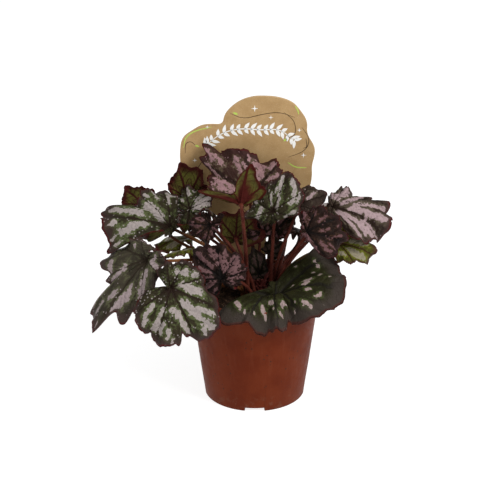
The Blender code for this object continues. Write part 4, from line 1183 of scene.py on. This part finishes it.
WINE = (0.070, 0.010, 0.010)
BROWN_VIOLET = (0.040, 0.024, 0.021)
HEART = (0.017, 0.0095, 0.0065)
NEAR_BLACK = (0.006, 0.0045, 0.004)
lime_under = under_finish(
    "lime underside", (0.068, 0.070, 0.014), (0.046, 0.036, 0.012), (0.040, 0.009, 0.007), WINE, border=0.88
)
star_under = under_finish(
    "red-veined underside", (0.098, 0.094, 0.020), (0.074, 0.066, 0.018), (0.044, 0.0065, 0.0050),
    (0.050, 0.0070, 0.0055), width=1.5, heart=0.80, twigs=0.4,
)
red_under = under_finish(
    "red-edged underside", (0.100, 0.096, 0.020), (0.070, 0.056, 0.015), (0.036, 0.0075, 0.006),
    (0.050, 0.0095, 0.008), width=1.2, border=0.68,
)
dull_under = under_finish(
    "dull underside", (0.040, 0.028, 0.013), (0.026, 0.014, 0.009), (0.035, 0.008, 0.006), WINE
)
silver_leaf = upper_finish(
    "silver leaf", (0.078, 0.094, 0.036), (0.027, 0.022, 0.0110), (0.305, 0.262, 0.248), HEART,
    BROWN_VIOLET, WINE, dots=0.5, broken=1.4,
)
lilac_leaf = upper_finish(
    "lilac leaf", (0.088, 0.090, 0.046), (0.050, 0.042, 0.028), (0.300, 0.238, 0.240),
    (0.028, 0.020, 0.013), (0.052, 0.034, 0.029), WINE, spread=0.55,
)
rosy_leaf = upper_finish(
    "rosy leaf", (0.090, 0.072, 0.048), (0.036, 0.023, 0.017), (0.325, 0.235, 0.242), HEART,
    (0.052, 0.030, 0.025), WINE, border=0.88,
)
pink_leaf = upper_finish(
    "pink leaf", (0.086, 0.062, 0.038), (0.047, 0.021, 0.016), (0.258, 0.150, 0.156),
    (0.015, 0.008, 0.006), (0.040, 0.017, 0.015), WINE, spread=0.45, vein=1.5, broken=2.1,
)
# Painted shade: a darker copy of the pink look for the leaf that lies under the top leaf, partly its own
# duller colour and partly shade painted in.
shaded_leaf = upper_finish(
    "shaded pink leaf", (0.026, 0.013, 0.010), (0.0085, 0.005, 0.004), (0.130, 0.069, 0.071), NEAR_BLACK,
    (0.022, 0.012, 0.010), (0.040, 0.014, 0.014), spread=0.3, vein=1.6, broken=1.6,
)
dusky_leaf = upper_finish(
    "dusky leaf", (0.043, 0.021, 0.013), (0.0150, 0.0078, 0.0058), (0.112, 0.055, 0.058), NEAR_BLACK,
    (0.022, 0.011, 0.010), (0.045, 0.009, 0.009), spread=0.15, vein=1.5, broken=2.0,
)
spotted_leaf = upper_finish(
    "spotted leaf", (0.042, 0.053, 0.015), (0.0195, 0.0185, 0.0066), (0.290, 0.215, 0.205),
    (0.008, 0.0065, 0.005), (0.039, 0.030, 0.025), (0.05, 0.016, 0.012), spread=0.4, dots=-0.5, border=0.73,
)
dark_leaf = upper_finish(
    "dark leaf", (0.024, 0.021, 0.010), (0.0125, 0.0095, 0.0055), (0.055, 0.032, 0.028), NEAR_BLACK,
    (0.020, 0.011, 0.009), (0.045, 0.009, 0.009), spread=0.0, broken=2.0,
)
yellow_leaf = upper_finish(
    "yellow leaf", (0.140, 0.142, 0.020), (0.088, 0.088, 0.013), (0.235, 0.205, 0.140),
    (0.05, 0.018, 0.009), (0.055, 0.022, 0.014), WINE, spread=0.22, broken=1.6, border=0.86,
)
looks = {
    "silver": (silver_leaf, lime_under),
    "lilac": (lilac_leaf, lime_under),
    "rosy": (rosy_leaf, lime_under),
    "pink": (pink_leaf, lime_under),
    "shaded": (shaded_leaf, dull_under),
    "dusky": (dusky_leaf, dull_under),
    "dark": (dark_leaf, dull_under),
    "spotted": (spotted_leaf, dull_under),
    "yellow": (yellow_leaf, lime_under),
    "star": (pink_leaf, star_under),
    "red back": (silver_leaf, red_under),
}


def add_blade(shape, rays, rings):
    """The blade as one closed sheet: its upper and under side lie half the sheet's thickness off the
    middle surface, which thins towards the edge, and meet in the last ring. Its map, veins, runs round
    the stalk with the main veins at whole numbers, and out from the stalk to the edge."""
    angle = all_round(rays) - np.pi
    share = (np.arange(rings) + 1)[:, None] / rings
    wide = np.broadcast_to(angle, (rings, rays))
    smooth_sheet = blade_points(shape, share, wide, 0)
    outward = np.gradient(smooth_sheet, axis=0)
    round_it = np.roll(smooth_sheet, -1, axis=1) - np.roll(smooth_sheet, 1, axis=1)
    normal = unit(np.cross(outward, round_it))
    sheet = blade_points(shape, share, wide, 1) + normal * quilting(shape, share, wide)[..., None]
    thick = SHEET_EDGE + (SHEET_MIDDLE - SHEET_EDGE) * (1 - share**3)
    upper = sheet + normal * (thick / 2 * (share < 1))[..., None]
    under = sheet - normal * (thick / 2 + ridges(share, wide))[..., None]
    up = blade_up(shape)
    middle = np.asarray(shape["joint"])
    poles = [middle + up * SHEET_MIDDLE / 2, middle - up * SHEET_MIDDLE / 2]
    points = np.vstack([upper.reshape(-1, 3), under[:-1].reshape(-1, 3), poles])
    high = np.arange(rings * rays).reshape(rings, rays)
    low = joined(np.vstack([high[:-1] + high.size, high[-1:]]))
    high = joined(high)
    pole = np.full(rays, len(points) - 2)
    faces = [
        *quads(high)[:, TURNED_OVER].tolist(),
        *np.stack([pole, high[0, :-1], high[0, 1:]], -1).tolist(),
        *quads(low).tolist(),
        *np.stack([pole + 1, low[0, 1:], low[0, :-1]], -1).tolist(),
    ]
    upper_look, under_look = looks[shape["look"]]
    blade = shown("leaf_" + shape["name"], points, faces, upper_look, under_look)
    half = len(faces) // 2
    blade.data.polygons.foreach_set("material_index", np.repeat([0, 1], half).astype(np.int32))
    way_round = (np.arange(rays + 1) / rays - 0.5) * MAIN_VEINS
    vein_map = np.stack(np.meshgrid(way_round, share.ravel()), -1)
    here, after = vein_map[0, :-1], vein_map[0, 1:]
    middles = (here + after) / 2 * [1, 0]
    low_map, fan_map = quads(vein_map), np.stack([middles, here, after], 1)
    corners = [low_map[:, TURNED_OVER], fan_map, low_map, fan_map[:, [0, 2, 1]]]
    veins = blade.data.uv_layers.new(name="veins")
    veins.data.foreach_set("uv", np.concatenate([corner.reshape(-1, 2) for corner in corners]).ravel())
    silver = silver_field(shape, share, wide)
    silver = np.concatenate([silver.ravel(), silver[:-1].ravel(), [0, 0]])
    blade.data.attributes.new("silver", "FLOAT", "POINT").data.foreach_set("value", silver)
    as_part(blade, "leaf_blade", *["blade_" + shape["name"]] * shape["solid"])
    return sheet, normal


edge_roots, edge_ways = [], []
for shape in LEAVES:
    sheet, normal = add_blade(shape, *shape["grid"])
    pick = chance.integers(0, sheet.shape[1], EDGE_HAIRS)
    rim, inside = sheet[-1, pick], sheet[-3, pick]
    edge_roots.append(rim - unit(rim - inside) * HAIR_SINK)
    edge_ways.append(unit(rim - inside) + chance.normal(0, 0.3, rim.shape))
    spots = chance.integers(4, sheet.shape[0] - 1, EDGE_HAIRS), chance.integers(0, sheet.shape[1], EDGE_HAIRS)
    edge_roots.append(sheet[spots])
    edge_ways.append(normal[spots] + chance.normal(0, 0.5, rim.shape))
edge_roots = np.concatenate(edge_roots)
edge_fur = fibre("leaf hair", (0.12, 0.04, 0.035), (0.26, 0.17, 0.15))
edge_lengths = chance.uniform(0.0004, 0.0012, len(edge_roots))
hairs = hair_points(edge_roots, np.concatenate(edge_ways), edge_lengths, EDGE_HAIR_WIDTH)
fringe = shown("leaf_hairs", hairs, hair_faces(len(hairs) // 4), edge_fur)
as_part(fringe, "leaf_blade")


# Card. A die-cut display card of kraft board, with a rounded cloud-like head and a tongue that stands
# in the soil between the leaves and the pot's back wall. Its cut edges are paler and a little round.
CARD_PLACE = 0.0445
CARD_THICKNESS = 0.001
CARD_MIDDLE = -0.0095
CARD_MIDDLE_HEIGHT = 0.185
CARD_FOOT = 0.068
TONGUE_HALF_WIDTH = 0.0195
STAKE_HALF_WIDTH = 0.015
SHOULDER_LOW = 0.099
SHOULDER_HIGH = 0.104
CARD_ROUND = 0.0002
CARD_HEAD = (
    (-0.0300, 0.1500), (-0.0480, 0.1660), (-0.0640, 0.1850), (-0.0675, 0.2060), (-0.0672, 0.2215),
    (-0.0645, 0.2310), (-0.0560, 0.2370), (-0.0478, 0.2421), (-0.0390, 0.2430), (-0.0288, 0.2424),
    (-0.0272, 0.2520), (-0.0205, 0.2600), (-0.0120, 0.2660), (-0.0020, 0.2692), (0.0065, 0.2697),
    (0.0200, 0.2690), (0.0335, 0.2645), (0.0405, 0.2565), (0.0476, 0.2455), (0.0466, 0.2335),
    (0.0540, 0.2220), (0.0545, 0.2140), (0.0515, 0.2025), (0.0522, 0.1930), (0.0500, 0.1800),
    (0.0350, 0.1620), (0.0110, 0.1500),
)


def softened(line, rounds):
    """An open line with its corners cut, over and over: each round puts two points on every stretch,
    a quarter and three quarters along it, and keeps the two ends."""
    line = np.asarray(line, float)
    for _ in range(rounds):
        cut = [0.75 * line[:-1] + 0.25 * line[1:], 0.25 * line[:-1] + 0.75 * line[1:]]
        line = np.vstack([line[:1], np.stack(cut, 1).reshape(-1, 2), line[-1:]])
    return line


def kraft_board():
    """Brown recycled board: mottled, flecked with dark and pale fibres, its cut edges paler."""
    made, shader = finish("kraft board", (0.4, 0.26, 0.14), 0.8, 0.05)
    place = object_place(shader)
    clouds = noise(place, 90, 4, 0.6)
    fibres = noise(stretched(place, (700, 700, 2200)), 1, 2)
    colour = mixed(ease(clouds, 0.35, 0.65), (0.355, 0.225, 0.102), (0.41, 0.268, 0.127))
    colour = mixed(ease(fibres, 0.58, 0.72, 0, 0.4), colour, (0.22, 0.13, 0.065))
    colour = mixed(ease(noise(place, 1500, 1), 0.64, 0.72, 0, 0.5), colour, (0.52, 0.38, 0.24))
    rim = beside(shader, "ShaderNodeAttribute")
    rim.attribute_name = "rim"
    colour = mixed(ease(rim.outputs["Fac"], 0.985, 1.0, 0, 0.35), colour, (0.55, 0.41, 0.26))
    put(shader.inputs["Base Color"], colour)
    raised(shader, plus(clouds, fibres), 0.00008)
    return made


left, right = CARD_MIDDLE - TONGUE_HALF_WIDTH, CARD_MIDDLE + TONGUE_HALF_WIDTH
stake_left, stake_right = CARD_MIDDLE - STAKE_HALF_WIDTH, CARD_MIDDLE + STAKE_HALF_WIDTH
head = softened(CARD_HEAD, 3)
tongue = [
    (right, SHOULDER_HIGH), (stake_right, SHOULDER_LOW), (stake_right, CARD_FOOT),
    (stake_left, CARD_FOOT), (stake_left, SHOULDER_LOW), (left, SHOULDER_HIGH),
]
outline = np.vstack([head, tongue])


def stood_up(flat, depth):
    """Flat points, given across and up, stood up at a depth behind the middle of the pot."""
    return np.stack([flat[..., 0], np.broadcast_to(depth, flat.shape[:-1]), flat[..., 1]], -1)


# The board as rings: from the middle of the front out to the cut edge, over it, and back in to the
# middle of the back. Each ring is the outline drawn in towards the middle by its share.
card_middle = np.array([CARD_MIDDLE, CARD_MIDDLE_HEIGHT])
front_rings = [(0.0, 0.5), (0.0, 0.985), (0.0, 0.998), (CARD_ROUND, 1.0)]
card_rings = np.array(front_rings + [(CARD_THICKNESS - depth, share) for depth, share in front_rings[::-1]])
depths, shares = card_rings[:, :1], card_rings[:, 1]
count = len(outline)
drawn_in = card_middle + (outline - card_middle) * shares[:, None, None]
card_ends = stood_up(np.array([card_middle] * 2), [CARD_PLACE, CARD_PLACE + CARD_THICKNESS])
card_points = np.vstack([stood_up(drawn_in, CARD_PLACE + depths).reshape(-1, 3), card_ends])
rim_share = [*np.repeat(shares, count), 0, 0]
card_faces = [face[::-1] for face in closed_faces(len(card_rings), count)]
card = shown("card_board", card_points, card_faces, kraft_board())
card.data.attributes.new("rim", "FLOAT", "POINT").data.foreach_set("value", rim_share)
card.data.set_sharp_from_angle(angle=math.radians(50))
as_part(card, "kraft_card", "card")


# Print. Screen printed inks on the front of the board: a white garland with small stars, thin dark
# brown tendrils and lime strokes and buds. Every one is a flat shape a little proud of the board.
INK = 0.00006
STROKE = 0.0006
WIDE_STROKE = 0.0010
BARE_BOARD = (0.40, 0.27, 0.15)


def ink(name, colour):
    """Screen printing ink: nearly flat, slightly patchy where the board shows through."""
    made, shader = finish(name, colour, 0.6, 0.12)
    patchy = noise(object_place(shader), 900, 3, 0.7)
    thin = tuple(0.8 * part + 0.2 * board for part, board in zip(colour, BARE_BOARD))
    put(shader.inputs["Base Color"], mixed(ease(patchy, 0.5, 0.75), colour, thin))
    return made


def ink_shape(outline):
    """A flat shape of ink as a closed prism: the points of its front, then those of its back."""
    outline = np.asarray(outline, float)
    if np.sum(outline[:, 0] * np.roll(outline[:, 1], -1) - np.roll(outline[:, 0], -1) * outline[:, 1]) < 0:
        outline = outline[::-1]
    count = len(outline)
    front, back = stood_up(outline, CARD_PLACE - INK), stood_up(outline, CARD_PLACE + INK)
    side = np.arange(count)
    after = (side + 1) % count
    walls = np.stack([side, side + count, after + count, after], -1)
    return np.vstack([front, back]), [list(side), list(side[::-1] + count), *walls.tolist()]


def ink_leaf(foot, degrees, length, width):
    """A leaf shape: two arcs from foot to tip, widest at two fifths of its length."""
    t = np.linspace(0, 1, 9)
    half = width / 2 * np.sin(np.pi * t**0.8)
    turn = math.radians(degrees)
    ahead = np.outer(t * length, [math.cos(turn), math.sin(turn)])
    aside = np.outer(half, [-math.sin(turn), math.cos(turn)])
    return np.asarray(foot) + np.vstack([ahead + aside, (ahead - aside)[-2:0:-1]])


def ink_stroke(points, width, rounds=3):
    """A stroke along a softened line, full in its middle and thin at both ends."""
    line = softened(points, rounds)
    way = unit(np.gradient(line, axis=0))
    aside = np.stack([-way[:, 1], way[:, 0]], -1)
    t = np.linspace(0, 1, len(line))
    half = width / 2 * (0.25 + 0.75 * np.sin(np.pi * t))[:, None]
    return np.vstack([line + aside * half, (line - aside * half)[::-1]])


def ink_star(middle, size):
    """A four-pointed sparkle: points at full size and waists at about a fifth of it, in turn."""
    far = size * np.array([1, 0.22] * 4)
    return round_points(far, all_round(8) + np.pi / 2, 0, middle)[:, :2]


def print_piece(name, shapes, made):
    """One piece of all the shapes of one ink."""
    points, faces, start = [], [], 0
    for outline in shapes:
        shape_points, shape_faces = ink_shape(outline)
        points.append(shape_points)
        faces += [[int(corner) + start for corner in face] for face in shape_faces]
        start += len(shape_points)
    piece = shown(name, np.vstack(points), faces, made)
    piece.data.set_sharp_from_angle(angle=math.radians(30))
    as_part(piece, "kraft_card")


GARLAND = (
    (-0.045, 0.2215), (-0.030, 0.2345), (-0.012, 0.2390), (0.006, 0.2370), (0.022, 0.2385), (0.036, 0.2270),
)
GARLAND_WIDTH = 0.0011
GARLAND_PAIRS = 17
GARLAND_LEAF = 0.0072
GARLAND_LEAF_WIDTH = 0.0031
GARLAND_LEAF_ANGLE = 52
garland = softened(GARLAND, 4)
garland_way = unit(np.gradient(garland, axis=0))
white_shapes = [ink_stroke(GARLAND, GARLAND_WIDTH)]
for index, place in enumerate(np.linspace(4, len(garland) - 5, GARLAND_PAIRS).astype(int)):
    toward = math.degrees(math.atan2(garland_way[place, 1], garland_way[place, 0]))
    for side in (-1, 1):
        size = GARLAND_LEAF * (1 + math.sin(1.7 * index + side) / 6)
        angle = toward + side * GARLAND_LEAF_ANGLE
        white_shapes.append(ink_leaf(garland[place], angle, size, GARLAND_LEAF_WIDTH))
white_shapes += [
    ink_star(place, size)
    for place, size in (
        ((0.0000, 0.2575), 0.0032), ((0.0145, 0.2490), 0.0022), ((-0.0425, 0.2400), 0.0020),
        ((0.0400, 0.2370), 0.0022), ((0.0440, 0.2130), 0.0026), ((-0.0540, 0.2080), 0.0022),
    )
]
print_piece("card_print_white", white_shapes, ink("white ink", (0.80, 0.79, 0.76)))

dark_shapes = [
    ink_stroke(line, STROKE)
    for line in (
        [(-0.022, 0.2530), (-0.010, 0.2475), (0.006, 0.2520), (0.022, 0.2545), (0.036, 0.2490)],
        [(0.026, 0.2540), (0.036, 0.2460), (0.037, 0.2330), (0.031, 0.2290), (0.029, 0.2335)],
        [(0.042, 0.2400), (0.050, 0.2290), (0.046, 0.2170), (0.030, 0.2110)],
        [(0.046, 0.2290), (0.0475, 0.2210), (0.0435, 0.2195)],
        [(-0.0625, 0.2150), (-0.0625, 0.2245), (-0.0570, 0.2265), (-0.0535, 0.2225)],
        [(-0.0560, 0.1960), (-0.0500, 0.2020), (-0.0430, 0.2160)],
        [(-0.0050, 0.1560), (-0.0200, 0.1700), (-0.0400, 0.1760), (-0.0500, 0.1880)],
    )
]
print_piece("card_print_dark", dark_shapes, ink("dark brown ink", (0.050, 0.028, 0.014)))

lime_shapes = [
    ink_stroke([(-0.0640, 0.2200), (-0.0625, 0.2300), (-0.0540, 0.2365), (-0.0385, 0.2400)], WIDE_STROKE),
    ink_stroke([(0.0360, 0.2600), (0.0385, 0.2560), (0.0395, 0.2520)], WIDE_STROKE),
    ink_stroke([(0.0300, 0.2060), (0.0370, 0.2010), (0.0470, 0.2010)], WIDE_STROKE),
    ink_leaf((-0.0150, 0.2520), 160, 0.0050, 0.0020),
    ink_leaf((0.0290, 0.2290), 220, 0.0042, 0.0018),
    ink_leaf((-0.0535, 0.2225), -20, 0.0042, 0.0018),
]
print_piece("card_print_lime", lime_shapes, ink("lime ink", (0.40, 0.55, 0.10)))
